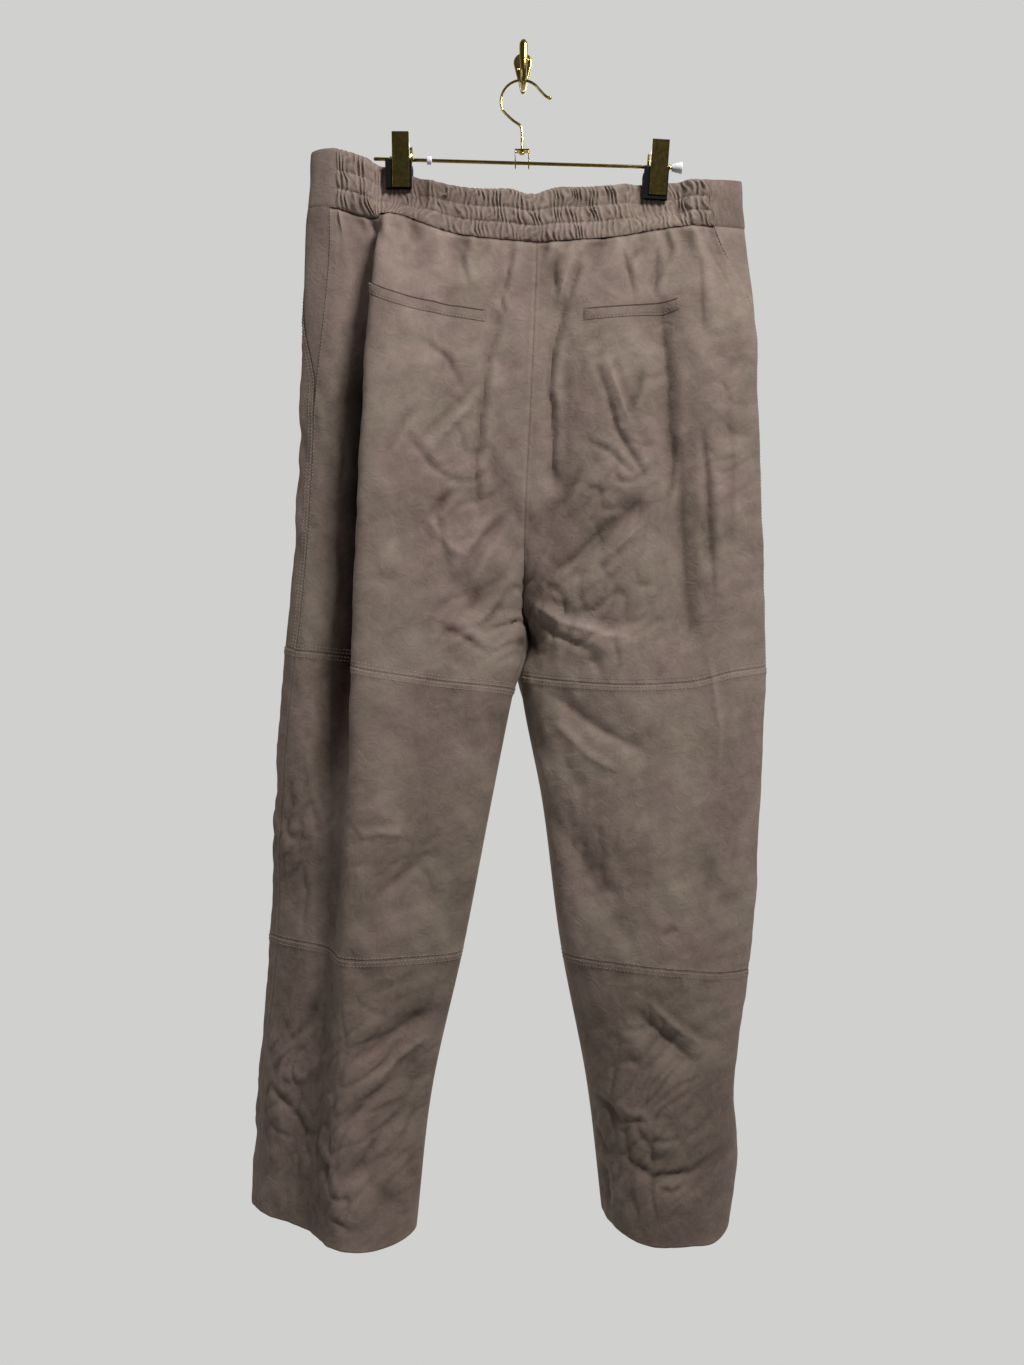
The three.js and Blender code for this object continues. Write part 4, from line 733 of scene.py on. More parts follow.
# Soft noise on the leather: the size of its waves in millimetres, and its seed.
NOISE = {
    "crumple": (46, 3), "fine crumple": (19, 5), "crumple share": (170, 9), "wrinkles": (34, 12),
    "cross wrinkles": (24, 17), "puckers": (11, 23), "wide puckers": (26, 29), "back band": (30, 21),
    "front band": (40, 31), "drawn gathers": (20, 33), "gathers": (24, 41), "fine gathers": (12, 43),
    "gather heights": (17, 47),
}


def noise(name, a, b):
    """The soft noise of that name at the places a, b."""
    return soft_noise(a, b, *NOISE[name])


def patches(table, x, down):
    """The sum of soft bells, one for each row of x, down, half width, half height and strength."""
    total = np.zeros(x.shape)
    for middle_x, middle_down, width, height, strength in table:
        away = ((x - middle_x) / width) ** 2 + ((down - middle_down) / height) ** 2
        total += strength * np.exp(-away)
    return total


STITCH_ROWS = []


def keep_stitch_row(points, normals, group):
    """Notes a line of points on the cloth along which the stitching operator sews."""
    STITCH_ROWS.append((group, points, normals))


# The elastic starts this many stations short of the side join of the left half.
FLAT_BY_JOIN = {"left": 0.2, "right": 0.0}
# Puckers of both sizes under the band: height, reach below it, and how fast they change on the way down.
PUCKERS = {"puckers": (2.6, 13, 0.12), "wide puckers": (3.3, 34, 0.15)}
PUCKER_LEAN, PUCKER_LEAN_LENGTH = 0.35, 47
# Share of the puckers where the band has no elastic, and how far below the band the creases are held flat.
UNGATHERED_SHARE = 0.12
WAIST_HOLD = 14


def surface_relief(half, place, down, station, top_distance, pinch):
    """All that the cloth has on top of the solids: creases, soft crumple and the puckers under the band."""
    settings = bpy.context.scene.trousers_cloth
    x = place[..., 0]
    back = station < SIDE
    creases = np.where(back, crease_rise(x, down, BACK_CREASES) * np.sqrt(fade_to_edges(down, station)), 0.0)
    front = crease_rise(x, down, FRONT_CREASES) * step_between(SIDE, SIDE + 1.2, station)
    front = front * (1 - turn_at(down) * step_between(FRONT - 0.6, FRONT, station))
    creases += np.where(back, 0.0, front)
    # Crumple is measured along the cloth, so that the turned side gets as much as the flat back.
    along = x + 0.8 * place[..., 1]
    crumple = 0.9 * noise("crumple", along, down * 0.6) + 0.4 * noise("fine crumple", along, down * 0.8)
    crumple *= 0.45 + 0.55 * step_between(-0.6, 0.9, noise("crumple share", along, down))
    lines = noise("wrinkles", along + 5 * np.sin(down / 23), down * 0.9)
    cross = noise("cross wrinkles", along * 0.8 + down * 0.5, down * 0.6)
    crumple += patches(CRUMPLED, x, down) * (0.8 - 1.5 * bell(lines, 0.3) - 1.0 * bell(cross, 0.28))
    lean = along + PUCKER_LEAN * top_distance * np.sin(along / PUCKER_LEAN_LENGTH)
    puckers = 0.0
    for name, (height, reach, steepness) in PUCKERS.items():
        waves = noise(name, lean, top_distance * steepness)
        puckers = puckers + height * waves * np.exp(-top_distance / reach)
    puckers = puckers * (0.12 + 0.88 * step_between(0, 9, top_distance))
    puckers *= np.where(half_is_gathered(half, station), 1.0, UNGATHERED_SHARE)
    edge_hold = step_between(0, WAIST_HOLD, top_distance)
    rise = creases * edge_hold + crumple * (0.35 + 0.65 * edge_hold) + puckers
    return settings.crease_depth * rise * (1 - pinch)


def thigh_press(down):
    """How far both front panels bulge towards each other under the crotch, where the thighs touch."""
    left, right = (through_rows(INSEAM[half][:, 0], INSEAM[half][:, 1], down) for half in HALVES)
    gap = right - left
    return (gap / 2 + 2.3) * step_between(552, 562, down) * (1 - step_between(616, 648, down))


def half_is_gathered(half, station):
    """The elastic runs over the back only, and on the left it stops short of the side join."""
    return station < SIDE - FLAT_BY_JOIN[half]


def in_space(outward):
    """Outward directions of the section, x and out, as x, y, z."""
    return np.stack([outward[..., 0], -outward[..., 1], np.zeros(outward.shape[:-1])], axis=-1)


def add_shell(name, outer, inner, wear, inner_tone_and_shade=None):
    """The closed shell of suede between two grids, in place of the solid of that name."""
    both = np.concatenate([wear.ravel(), (wear if inner_tone_and_shade is None else inner_tone_and_shade).ravel()])
    points = np.concatenate([outer.reshape(-1, 3), inner.reshape(-1, 3)])
    faces = shell_faces(*outer.shape[:2])
    return add_piece(f"{name}_shell", points, faces, finish("suede"), "suede", [name], both)


# Edges of the panels: how far from them creases fade, the small puckers along a seam, the lap over the
# allowance, the turned edge and the groove under the waistband. Then the shades: the painted shadow in the
# groove, the nap lighter in a band beside an edge, the painted shadow in the pocket mouth and the inside of
# the leather a little darker.
EDGE_FADE = 9
SEAM_PUCKER, SEAM_PUCKER_LENGTH, SEAM_PUCKER_REACH = 0.3, 7.3, 5
LAP, LAP_START, LAP_END = 0.5, 6.0, 8.5
ROLL, ROLL_WIDTH = 0.35, 0.9
GROOVE, GROOVE_WIDTH = 1.5, 2.4
GROOVE_PAINTED_SHADOW_WIDTH = 1.7
EDGE_LIGHTER, EDGE_LIGHTER_FROM, EDGE_LIGHTER_WIDTH = 0.13, 2.4, 1.3
MOUTH_PAINTED_SHADOW, MOUTH_PAINTED_SHADOW_WIDTH = 1.1, 1.3
INSIDE_SHADE = 0.05


def make_panel(name, half, stations, top, bottom, rows, length, start_station=None):
    """One cut piece of leather: a grid between two seams, dressed with creases, and closed to a thin shell.

    The outer grid is the section curve at each station, moved out by the relief. Its edges roll in, and below
    a lapped seam the first few millimetres stand out over the allowance that is folded beneath them."""
    settings = bpy.context.scene.trousers_cloth
    shares = graded(rows, length)
    station = np.broadcast_to(stations, (len(shares), len(stations))).copy()
    if start_station is not None:
        first = start_station(shares)[:, None]
        station = first + (stations - stations[0]) / (stations[-1] - stations[0]) * (stations[-1] - first)
    top_down = level(half, top, station)
    bottom_down = level(half, bottom, station)
    down = top_down + SEAM_GAP / 2 + (bottom_down - top_down - SEAM_GAP) * shares[:, None]
    place, outward, slope, pinch = cloth_grid(half, station, down)
    closed_first = turn_at(down[:, 0]) if stations[0] == CENTRE else np.ones(len(shares))
    closed_last = turn_at(down[:, -1]) if stations[-1] == FRONT else np.ones(len(shares))
    place[:, 0] += slope[:, 0] * (closed_first * SEAM_GAP / 2)[:, None]
    place[:, -1] -= slope[:, -1] * (closed_last * SEAM_GAP / 2)[:, None]

    top_distance, bottom_distance = down - top_down, bottom_down - down
    from_first = np.cumsum(np.linalg.norm(np.diff(place, axis=1, prepend=place[:, :1]), axis=-1), axis=1)
    from_last = from_first[:, -1:] - from_first
    from_side = np.minimum(from_first, from_last)
    nearest = np.minimum(np.minimum(top_distance, bottom_distance), from_side)
    from_middle = from_first if stations[0] == CENTRE else from_last
    far = np.full(down.shape, 1e3)
    seam = np.minimum(top_distance, far if bottom == "hem" else bottom_distance)
    waist = top == "waist_seam"

    relief = surface_relief(half, place, down, station, top_distance if waist else far, pinch)
    relief *= 0.35 + 0.65 * step_between(0, EDGE_FADE, from_side)
    x = place[..., 0]
    waves = np.cos(2 * math.pi * (x / SEAM_PUCKER_LENGTH + 0.4 * np.sin(x / 19)))
    rise = relief + SEAM_PUCKER * waves * np.exp(-seam / SEAM_PUCKER_REACH)
    rise -= ROLL * bell(nearest, ROLL_WIDTH)
    if waist:
        rise -= GROOVE * bell(top_distance, GROOVE_WIDTH)
    else:
        rise += LAP * (1 - step_between(LAP_START, LAP_END, top_distance))
    rise *= 1 - turn_at(down) * (1 - step_between(0, 12, from_middle))
    if stations[-1] == FRONT:
        rise += thigh_press(down) * bell(from_last - 10, 7) * step_between(0, 3, from_last)
    outer = lifted(place, down, outward, rise)
    like = in_space(outward)

    # Painted shade in the troughs of the relief and painted highlight on its ridges, where the nap is also
    # worn a little lighter.
    wear = np.clip(relief * 0.05, -0.22, 0.16) + patches(NAP_AND_SHADE_PATCHES, x, down)
    # A band of lighter nap beside each edge, and painted shade right on the rolled edge, where it turns away.
    wear += EDGE_LIGHTER * bell(nearest - EDGE_LIGHTER_FROM, EDGE_LIGHTER_WIDTH) - 0.1 * bell(nearest, ROLL_WIDTH)
    if waist:
        # Painted shadow in the groove under the waistband, a little weaker where the band is flat.
        wear -= bell(top_distance, GROOVE_PAINTED_SHADOW_WIDTH) * np.where(half_is_gathered(half, station), 1.0, 0.8)
    if start_station is not None:
        open_mouth = step_between(SIDE, SIDE + 0.05, station[:, :1])
        # Painted shadow along the pocket mouth's edge, where the panel stands over the facing.
        wear -= MOUTH_PAINTED_SHADOW * open_mouth * bell(from_first, MOUTH_PAINTED_SHADOW_WIDTH)
    wear += PANEL_TONES_AND_SHADE[name]
    if half == "left":
        wear += painted_fold_shadow(station, down)
    piece = add_shell(name, outer, outer - like * settings.leather_thickness, wear, wear - INSIDE_SHADE)
    return outer, grid_normals(outer, like)


# Patches where the nap lies darker or lighter, and painted shade, most of all in the crotch hollow.
# Columns: x, down, half width, half height, shade.
NAP_AND_SHADE_PATCHES = np.array([
    [-190, 230, 26, 90, -0.12], [-118, 330, 34, 110, 0.10], [-178, 470, 22, 150, -0.10],
    [-60, 300, 40, 60, 0.05], [76, 350, 50, 80, -0.1], [150, 330, 18, 110, -0.07],
    [215, 330, 20, 150, -0.04], [-100, 560, 60, 60, 0.05], [90, 620, 70, 40, 0.08],
    [-110, 740, 50, 70, -0.03], [90, 760, 60, 70, 0.06], [120, 850, 60, 30, 0.03],
    [-120, 1000, 60, 120, -0.05], [130, 1010, 60, 120, -0.08], [30, 480, 40, 30, -0.05],
    [170, 540, 24, 90, -0.06], [206, 170, 30, 36, -0.42], [-200, 165, 26, 26, 0.12],
    [130, 1130, 60, 36, -0.12], [6, 548, 9, 32, -0.45], [8, 590, 11, 14, -0.7],
    [-230, 800, 22, 90, -0.25], [-70, 470, 26, 60, -0.03],
], float)

# Each panel is cut from its own skin. Its shade beside the others is partly that, and partly painted light
# that follows the light falling off down the legs.
PANEL_TONES_AND_SHADE = {
    "back_hip_left": 0.02, "front_hip_left": 0.05, "back_hip_right": 0.0, "front_hip_right": -0.06,
    "back_thigh_left": 0.0, "front_thigh_left": -0.02, "back_thigh_right": 0.06, "front_thigh_right": -0.04,
    "back_shin_left": -0.1, "front_shin_left": -0.05, "back_shin_right": -0.09, "front_shin_right": -0.07,
}


def painted_fold_shadow(station, down):
    """Painted shadow deep in the long fold of the left leg, darkest between the seat and the thigh."""
    inside = bell(station - 2.75, 0.42) * step_between(230, 320, down)
    inside = inside * (0.95 - 0.75 * step_between(540, 760, down))
    deepest = bell(station - 3.32, 0.2) * step_between(230, 360, down)
    return -inside - deepest * (1 - step_between(600, 760, down))


# Steps between the stations of a panel, and the length of each stretch.
BACK_COUNTS, BACK_LENGTHS = [34, 38, 24, 30], [75, 85, 42, 66]
FRONT_COUNTS, FRONT_LENGTHS = [7, 10, 22, 30], [20, 36, 90, 120]
BAND_COUNTS = [36, 16, 30, 40]
# Length of a hip panel, and the rows of the back one and the front one.
HIP_LENGTH, BACK_HIP_ROWS, FRONT_HIP_ROWS = 440, 180, 100
# Rows and columns of the grids that are sewn along: the finer ones beside each edge.
TOP_ROWS, BOTTOM_ROWS, BESIDE = (2, 4), (-3, -5), -3


# Height of the front hip panel over the distance from its top to the crotch, which the mouth's steps divide.
HIP_OVER_RISE = 1.145


def mouth_station(shares):
    """The station of the pocket mouth at each share of the front hip panel's height."""
    return np.interp(shares * HIP_OVER_RISE, np.arange(6) * MOUTH_STEP_SHARE, MOUTH_STATIONS)


class TROUSERS_OT_hip_panels(bpy.types.Operator):
    """Back and front hip panels, from the waistband to the thigh seam"""

    bl_idname = "trousers.hip_panels"
    bl_label = "Hip panels"

    def execute(self, context):
        back = station_list(CENTRE, BACK_COUNTS, BACK_LENGTHS)
        front = station_list(SIDE, FRONT_COUNTS, FRONT_LENGTHS)
        span = ("waist_seam", "thigh_seam")
        for half in HALVES:
            name = f"back_hip_{half}"
            outer, normals = make_panel(name, half, back, *span, BACK_HIP_ROWS, HIP_LENGTH)
            for row in BOTTOM_ROWS:
                keep_stitch_row(outer[row], normals[row], half)
            keep_stitch_row(outer[:, BESIDE], normals[:, BESIDE], half)
            name = f"front_hip_{half}"
            outer, normals = make_panel(name, half, front, *span, FRONT_HIP_ROWS, HIP_LENGTH, mouth_station)
            for column in TOP_ROWS:
                keep_stitch_row(outer[:, column], normals[:, column], half)
        return {"FINISHED"}


class TROUSERS_OT_leg_panels(bpy.types.Operator):
    """Back and front thigh and shin panels, down to the hems"""

    bl_idname = "trousers.leg_panels"
    bl_label = "Leg panels"

    def execute(self, context):
        back = station_list(CENTRE, BACK_COUNTS, BACK_LENGTHS)
        front = station_list(SIDE, FRONT_COUNTS, FRONT_LENGTHS)
        # Part, top, bottom, length, rows of the back and of the front, and the rows sewn along.
        spans = [("thigh", "thigh_seam", "knee_seam", 280, 112, 66, (*TOP_ROWS, BESIDE)),
                 ("shin", "knee_seam", "hem", 268, 108, 62, TOP_ROWS)]
        for half in HALVES:
            for part, top, bottom, length, back_rows, front_rows, sewn in spans:
                for side, stations, rows in (("back", back, back_rows), ("front", front, front_rows)):
                    name = f"{side}_{part}_{half}"
                    outer, normals = make_panel(name, half, stations, top, bottom, rows, length)
                    for row in sewn:
                        keep_stitch_row(outer[row], normals[row], half)
        return {"FINISHED"}


class TROUSERS_OT_waistband(bpy.types.Operator):
    """Waistband: three gathered channels of elastic over the back, flat leather round the front"""

    bl_idname = "trousers.waistband"
    bl_label = "Waistband"

    def execute(self, context):
        gathered_band()
        plain_band()
        return {"FINISHED"}


# The waistband: its height, the shares of it at its two rows of stitching, and the steps across it.
BAND_HEIGHT = 46
BAND_STITCH_SHARES = (0.36, 0.67)
BAND_SHARES = np.unique(np.concatenate([np.linspace(0, 1, 31), [0.02, 0.355, 0.365, 0.665, 0.675, 0.98]]))
# By each side join: where the gathers end, and the share of them that is lost there.
GATHERS_END = {"left": (SIDE - 0.12, 1.0), "right": (SIDE, 0.4)}
# From gather to gather, how narrow a ridge is, how full a channel swells, how far it stands out, and the
# depth of the two rows of stitching. Then the shallow gathers of the front band by its right join.
GATHER_LENGTH, RIDGE_POWER = 5.7, 1.25
SWELL_POWER, SWELL, SWELL_DROP = 0.55, 1.2, 0.7
STITCH_DEPTH, STITCH_WIDTH = 0.3, 0.012
DRAWN_LENGTH, DRAWN_DEPTH, DRAWN_STATIONS = 6.3, 1.3, 0.5
# Rolled edges of the waistband: top and bottom of the back, then the front.
TOP_ROLL, BOTTOM_ROLL, FRONT_ROLL = 0.9, 0.5, 0.6


def band_half(half, stations, shares, lower_top=0.0):
    """The bare grid of the waistband over one half, with the levels of its two edges."""
    station = np.broadcast_to(stations, (len(shares), len(stations)))
    top = level(half, "waist_top", station) + lower_top
    bottom = level(half, "waist_seam", station) - SEAM_GAP / 2
    down = top + (bottom - top) * shares[:, None]
    return station, top, bottom, down, *cloth_grid(half, station, down, 0.0)


def side_by_side(parts):
    """Each array of the first part joined to the same one of the second."""
    return [np.concatenate(pair, axis=1) for pair in zip(*parts)]


def gathered_band():
    """The back band. Its gathers are uneven cosine ridges across the band. Each channel swells out over its
    elastic, and two rows of stitching draw it in."""
    settings = bpy.context.scene.trousers_cloth
    parts = []
    lines = {"left": np.linspace(CENTRE, SIDE, 381)[::-1], "right": np.linspace(CENTRE, SIDE, 361)[1:]}
    for half, stations in lines.items():
        station, _, _, down, place, outward, _, pinch = band_half(half, stations, BAND_SHARES)
        end, lost = GATHERS_END[half]
        parts.append((place, down, outward, pinch, 1 - step_between(end - 0.16, end, station) * lost))
    place, down, outward, pinch, gathered = side_by_side(parts)
    run = np.cumsum(np.linalg.norm(np.diff(place, axis=1, prepend=place[:, :1]), axis=-1), axis=1)
    run = run[len(BAND_SHARES) // 2]
    share = BAND_SHARES[:, None]
    channel = np.searchsorted(BAND_STITCH_SHARES, BAND_SHARES, side="right")[:, None]
    edges = np.array([0, *BAND_STITCH_SHARES, 1])
    local = (share - edges[channel]) / (edges[channel + 1] - edges[channel])
    swell = np.sin(math.pi * np.clip(local, 0, 1)) ** SWELL_POWER
    height = share * BAND_HEIGHT
    wave = run / GATHER_LENGTH + 0.9 * np.sin(run / 37) + 0.5 * np.sin(run / 14.3 + 1)
    wave = wave + 0.5 * noise("gathers", run, height) + 0.25 * noise("fine gathers", run, height)
    ridge = (0.5 + 0.5 * np.cos(2 * math.pi * wave)) ** RIDGE_POWER
    uneven = np.clip(0.9 + 0.4 * noise("gather heights", run, height), 0.4, 1.4)
    depth = settings.gather_depth * (1 - 0.45 * pinch)
    stitched = sum(bell(share - sewn, STITCH_WIDTH) for sewn in BAND_STITCH_SHARES)
    rise = depth * gathered * ridge * uneven * (0.4 + 0.6 * swell)
    rise += gathered * (1 - pinch) * (SWELL * swell - SWELL_DROP) - STITCH_DEPTH * stitched * gathered
    rise *= 0.6 + 0.4 * step_between(0, 0.1, 1 - share)
    rise -= TOP_ROLL * bell(share, 0.03) + BOTTOM_ROLL * bell(1 - share, 0.02)
    rise += 0.35 * noise("back band", run[None, :], down) * (1 - pinch)
    down = down + (0.9 * (ridge - 0.5) * gathered * np.exp(-share / 0.12)) * (1 - pinch)
    outer = lifted(place, down, outward, rise)
    like = in_space(outward)
    # Painted shade in the hollows between the gathers and along the stitching, painted highlight on the
    # ridges.
    wear = np.clip((ridge - 0.5) * 0.26, -0.12, 0.12) * gathered - 0.03 * stitched * gathered
    wear = wear + patches(NAP_AND_SHADE_PATCHES, place[..., 0], down)
    band = add_shell("waistband_back", outer, outer - like * settings.leather_thickness, wear)
    normals = grid_normals(outer, like)
    for sewn in BAND_STITCH_SHARES:
        row = int(np.argmin(np.abs(BAND_SHARES - sewn)))
        keep_stitch_row(outer[row], normals[row], "left")


def plain_band():
    """The front band: flat leather from side join to side join, with rolled edges. By the right join the
    elastic draws it into a few shallow gathers too."""
    settings = bpy.context.scene.trousers_cloth
    shares = graded(12, BAND_HEIGHT)
    stations = station_list(SIDE, BAND_COUNTS, FRONT_LENGTHS)
    parts = []
    for half, line, join in (("left", stations, 0), ("right", stations[::-1][1:], -1)):
        station, top, bottom, down, place, outward, slope, pinch = band_half(half, line, shares, 0.5)
        place[:, join] += slope[:, join] * SEAM_GAP / 2
        drawn = bell(station - SIDE, DRAWN_STATIONS) * (half == "right")
        parts.append((place, down, outward, pinch, np.minimum(down - top, bottom - down), drawn))
    place, down, outward, pinch, edge, drawn = side_by_side(parts)
    rise = 0.5 * noise("front band", place[..., 0], down) * (1 - pinch) - FRONT_ROLL * bell(edge, 1.2)
    run = place[..., 0] - place[..., 1]
    waves = 0.5 + 0.5 * np.cos(2 * math.pi * (run / DRAWN_LENGTH + 0.5 * noise("drawn gathers", run, down)))
    rise += DRAWN_DEPTH * drawn * waves * (1 - bell(edge, 6))
    outer = lifted(place, down, outward, rise)
    # Painted shade on the rolled edges and in the hollows of the drawn gathers, painted highlight on their
    # ridges.
    wear = patches(NAP_AND_SHADE_PATCHES, place[..., 0], down) - 0.08 * bell(edge, 1.6) + 0.16 * (waves - 0.6) * drawn
    band = add_shell("waistband_front", outer, outer - in_space(outward) * settings.leather_thickness, wear)


class TROUSERS_OT_pockets(bpy.types.Operator):
    """Back welt pockets and the facings behind the slant front pockets"""

    bl_idname = "trousers.pockets"
    bl_label = "Pockets"

    def execute(self, context):
        for half in HALVES:
            pocket_welt(half)
            pocket_facing(half)
        return {"FINISHED"}


# Back welts: stations of both ends, how far down the opening lies at each, and its bow's height and drop.
WELTS = {"left": (0.6, 2.0, 271.5, 246.0, 5.5, 2.2), "right": (0.6, 2.33, 267.5, 254.5, 1.2, 0.0)}
# Down a welt: its rows, the end of the slit, the lip, how far it falls off, its top, and the stitching.
WELT_ROWS = np.array([0, 0.4, 1.0, 1.5, 1.8, 2.2, 3.0, 4.5, 6.5, 8.5, 9.6, 10.2, 10.7, 11.2, 11.6])
SLIT, LIP, LIP_FALL, LIP_TOP, WELT_SEWN = 1.6, 1.5, 9.4, 2.2, 10.2
WELT_LENGTH, WELT_HALF_THICKNESS = 110, 0.3
# How far behind the panel a pocket facing lies at the side seam, and how much further at the mouth.
FACING_BEHIND, FACING_DEEPER = 0.5, 0.5


def pocket_welt(half):
    """A strip on the back hip panel. Its top is the slit of the opening, painted dark as its shadow. Below,
    the lip stands out, and the strip falls off evenly to its sewn lower edge."""
    first, last, first_down, last_down, bow, bow_drop = WELTS[half]
    across = np.concatenate([[0, 0.008, 0.02], np.linspace(0.04, 0.96, 84), [0.98, 0.992, 1]])
    station = np.broadcast_to(first + (last - first) * across, (len(WELT_ROWS), len(across)))
    line = first_down + (last_down - first_down) * across + (bow * np.sin(math.pi * across) - bow_drop)
    down = (line - SLIT)[None, :] + WELT_ROWS[:, None]
    place, outward, _, pinch = cloth_grid(half, station, down)
    relief = surface_relief(half, place, down, station, down - level(half, "waist_seam", station), pinch)
    depth = WELT_ROWS[:, None] * np.ones(down.shape)
    ends = np.minimum(across, 1 - across)[None, :] * WELT_LENGTH
    lip = step_between(1.5, LIP_TOP, depth) * (LIP - 1.0 * (depth - LIP_TOP) / LIP_FALL)
    lip = lip * (1 - 0.8 * step_between(10.6, 11.6, depth))
    stitched = bell(depth - WELT_SEWN, 0.5)
    rise = relief + WELT_HALF_THICKNESS + (lip - 0.35 * stitched) * (1 - 0.85 * bell(ends, 1.2))
    outer = lifted(place, down, outward, rise)
    inner = lifted(place, down, outward, relief - WELT_HALF_THICKNESS)
    slit_painted_shadow = (1 - step_between(1.3, 1.9, depth)) * step_between(0, 2.5, ends)
    # Painted shadow in the slit, and painted shade along the stitching and at the sunk ends.
    wear = 0.02 - 0.8 * slit_painted_shadow - 0.1 * stitched - 0.12 * bell(ends, 1.4)
    wear = wear + patches(NAP_AND_SHADE_PATCHES, place[..., 0], down)
    welt = add_shell(f"pocket_welt_{half}", outer, inner, wear)
    like = in_space(outward)
    row = int(np.argmin(np.abs(WELT_ROWS - WELT_SEWN)))
    keep_stitch_row(outer[row], like[row], half)
    for end in (2, -3):
        keep_stitch_row(outer[3:13, end], like[3:13, end], half)


def pocket_facing(half):
    """The leather that shows behind the pocket mouth, between the side seam and the mouth's edge."""
    settings = bpy.context.scene.trousers_cloth
    rows = np.linspace(0, 4, 33)
    columns = np.linspace(0, 1, 14)
    last = np.interp(rows, np.arange(6), MOUTH_STATIONS)
    station = SIDE + (last[:, None] - SIDE) * columns
    top = level(half, "waist_seam", station)
    down = top + SEAM_GAP / 2 + (CROTCH_DOWN - top) * (rows / 9)[:, None]
    down[-1] -= SEAM_GAP
    place, outward, slope, _ = cloth_grid(half, station, down)
    place[:, 0] += slope[:, 0] * SEAM_GAP / 2
    place[:, -1] -= slope[:, -1] * SEAM_GAP / 2
    rise = -FACING_BEHIND * np.ones(down.shape) - FACING_DEEPER * columns ** 2
    outer = lifted(place, down, outward, rise)
    inner = lifted(place, down, outward, rise - settings.leather_thickness)
    facing = add_shell(f"pocket_facing_{half}", outer, inner, np.full(down.shape, -0.06))


class TROUSERS_OT_stitching(bpy.types.Operator):
    """Topstitching along the seams, the pocket mouths and the channels of the waistband"""

    bl_idname = "trousers.stitching"
    bl_label = "Stitching"

    def execute(self, context):
        for half in HALVES:
            rows = [stitches_along(line, normals) for group, line, normals in STITCH_ROWS if group == half]
            sew(f"stitching_{half}", *(np.concatenate(each) for each in zip(*rows)))
        return {"FINISHED"}


def stitches_along(line, normals):
    """Middle, heading and up direction of each stitch, evenly spaced along a line of points."""
    run = np.concatenate([[0], np.cumsum(np.linalg.norm(np.diff(line, axis=0), axis=1))])
    count = max(int(run[-1] / bpy.context.scene.trousers_cloth.stitch_pitch), 2)
    at = (np.arange(count) + 0.5) * run[-1] / count

    def pick(values, where):
        return np.stack([np.interp(where, run, values[:, axis]) for axis in range(3)], axis=-1)

    return pick(line, at), pick(line, at + 0.6) - pick(line, at - 0.6), pick(normals, at)


# A stitch: its half length as a share of the stitch pitch, the share of that to its two rings, and, in thread
# radii, how far its ends dip and how far its middle stands above the leather.
STITCH_HALF, RING_AT, END_DIP, STITCH_UP = 0.36, 0.55, 0.7, 0.3


def sew(name, middles, headings, ups):
    """One short thread for each stitch: two rings of five points between two end points, sunk halfway in."""
    settings = bpy.context.scene.trousers_cloth
    heading = headings / np.maximum(np.linalg.norm(headings, axis=1, keepdims=True), 1e-9)
    up = ups - heading * np.sum(ups * heading, axis=1, keepdims=True)
    up /= np.maximum(np.linalg.norm(up, axis=1, keepdims=True), 1e-9)
    across = np.cross(heading, up)
    half_length, radius = settings.stitch_pitch * STITCH_HALF, settings.thread_radius
    angle = np.arange(5) * 2 * math.pi / 5
    ring = np.stack([np.cos(angle), np.sin(angle)], axis=-1) * radius
    first, last = ([[end * half_length, 0.0, -END_DIP * radius]] for end in (-1, 1))
    rings = [np.column_stack([np.full(5, end * half_length * RING_AT), ring]) for end in (-1, 1)]
    template = np.concatenate([first, *rings, last])
    points = (middles[:, None] + template[None, :, 0, None] * heading[:, None]
              + template[None, :, 1, None] * across[:, None]
              + (template[None, :, 2, None] + STITCH_UP * radius) * up[:, None])
    faces = tube_faces(2, 5)[None] + len(template) * np.arange(len(middles))[:, None, None]
    add_piece(name, points.reshape(-1, 3), faces.reshape(-1, 3), finish("thread"), "suede")


def swept(route, radii, sides, heading=None, first_side=(0.0, 1.0, 0.0)):
    """Rings of points about a route, each square to it, and a closing point at both ends.

    radii is one number, one for each ring, or two for each: along the ring's side and square to it. The side
    starts near first_side and turns no more than the route makes it."""
    route = np.asarray(route, float)
    if heading is None:
        heading = np.gradient(route, axis=0)
    heading = np.broadcast_to(np.asarray(heading, float), route.shape)
    heading = heading / np.linalg.norm(heading, axis=1, keepdims=True)
    side, kept = np.array(first_side, float), []
    for direction in heading:
        side = side - direction * (side @ direction)
        side = side / np.linalg.norm(side)
        kept.append(side)
    side = np.array(kept)[:, None]
    other = np.cross(heading, side[:, 0])[:, None]
    radii = np.asarray(radii, float)
    if radii.ndim < 2:
        radii = np.stack([np.broadcast_to(radii, len(route))] * 2, axis=-1)
    angle = np.arange(sides) * 2 * math.pi / sides
    rings = (route[:, None] + side * np.cos(angle)[None, :, None] * radii[:, None, :1]
             + other * np.sin(angle)[None, :, None] * radii[:, None, 1:])
    points = np.concatenate([route[:1], rings.reshape(-1, 3), route[-1:]])
    return points, tube_faces(len(route), sides)


def tube_faces(rings, sides):
    """Triangles between rings, and fans from the first and the last point."""
    index = 1 + np.arange(rings * sides).reshape(rings, sides)
    after = np.roll(index, -1, axis=1)
    a, b, c, d = index[:-1].ravel(), after[:-1].ravel(), after[1:].ravel(), index[1:].ravel()
    last = np.full(sides, 1 + rings * sides)
    return np.concatenate([
        np.stack([a, b, c], axis=-1), np.stack([a, c, d], axis=-1),
        np.stack([np.zeros(sides, int), after[0], index[0]], axis=-1),
        np.stack([last, index[-1], after[-1]], axis=-1),
    ])


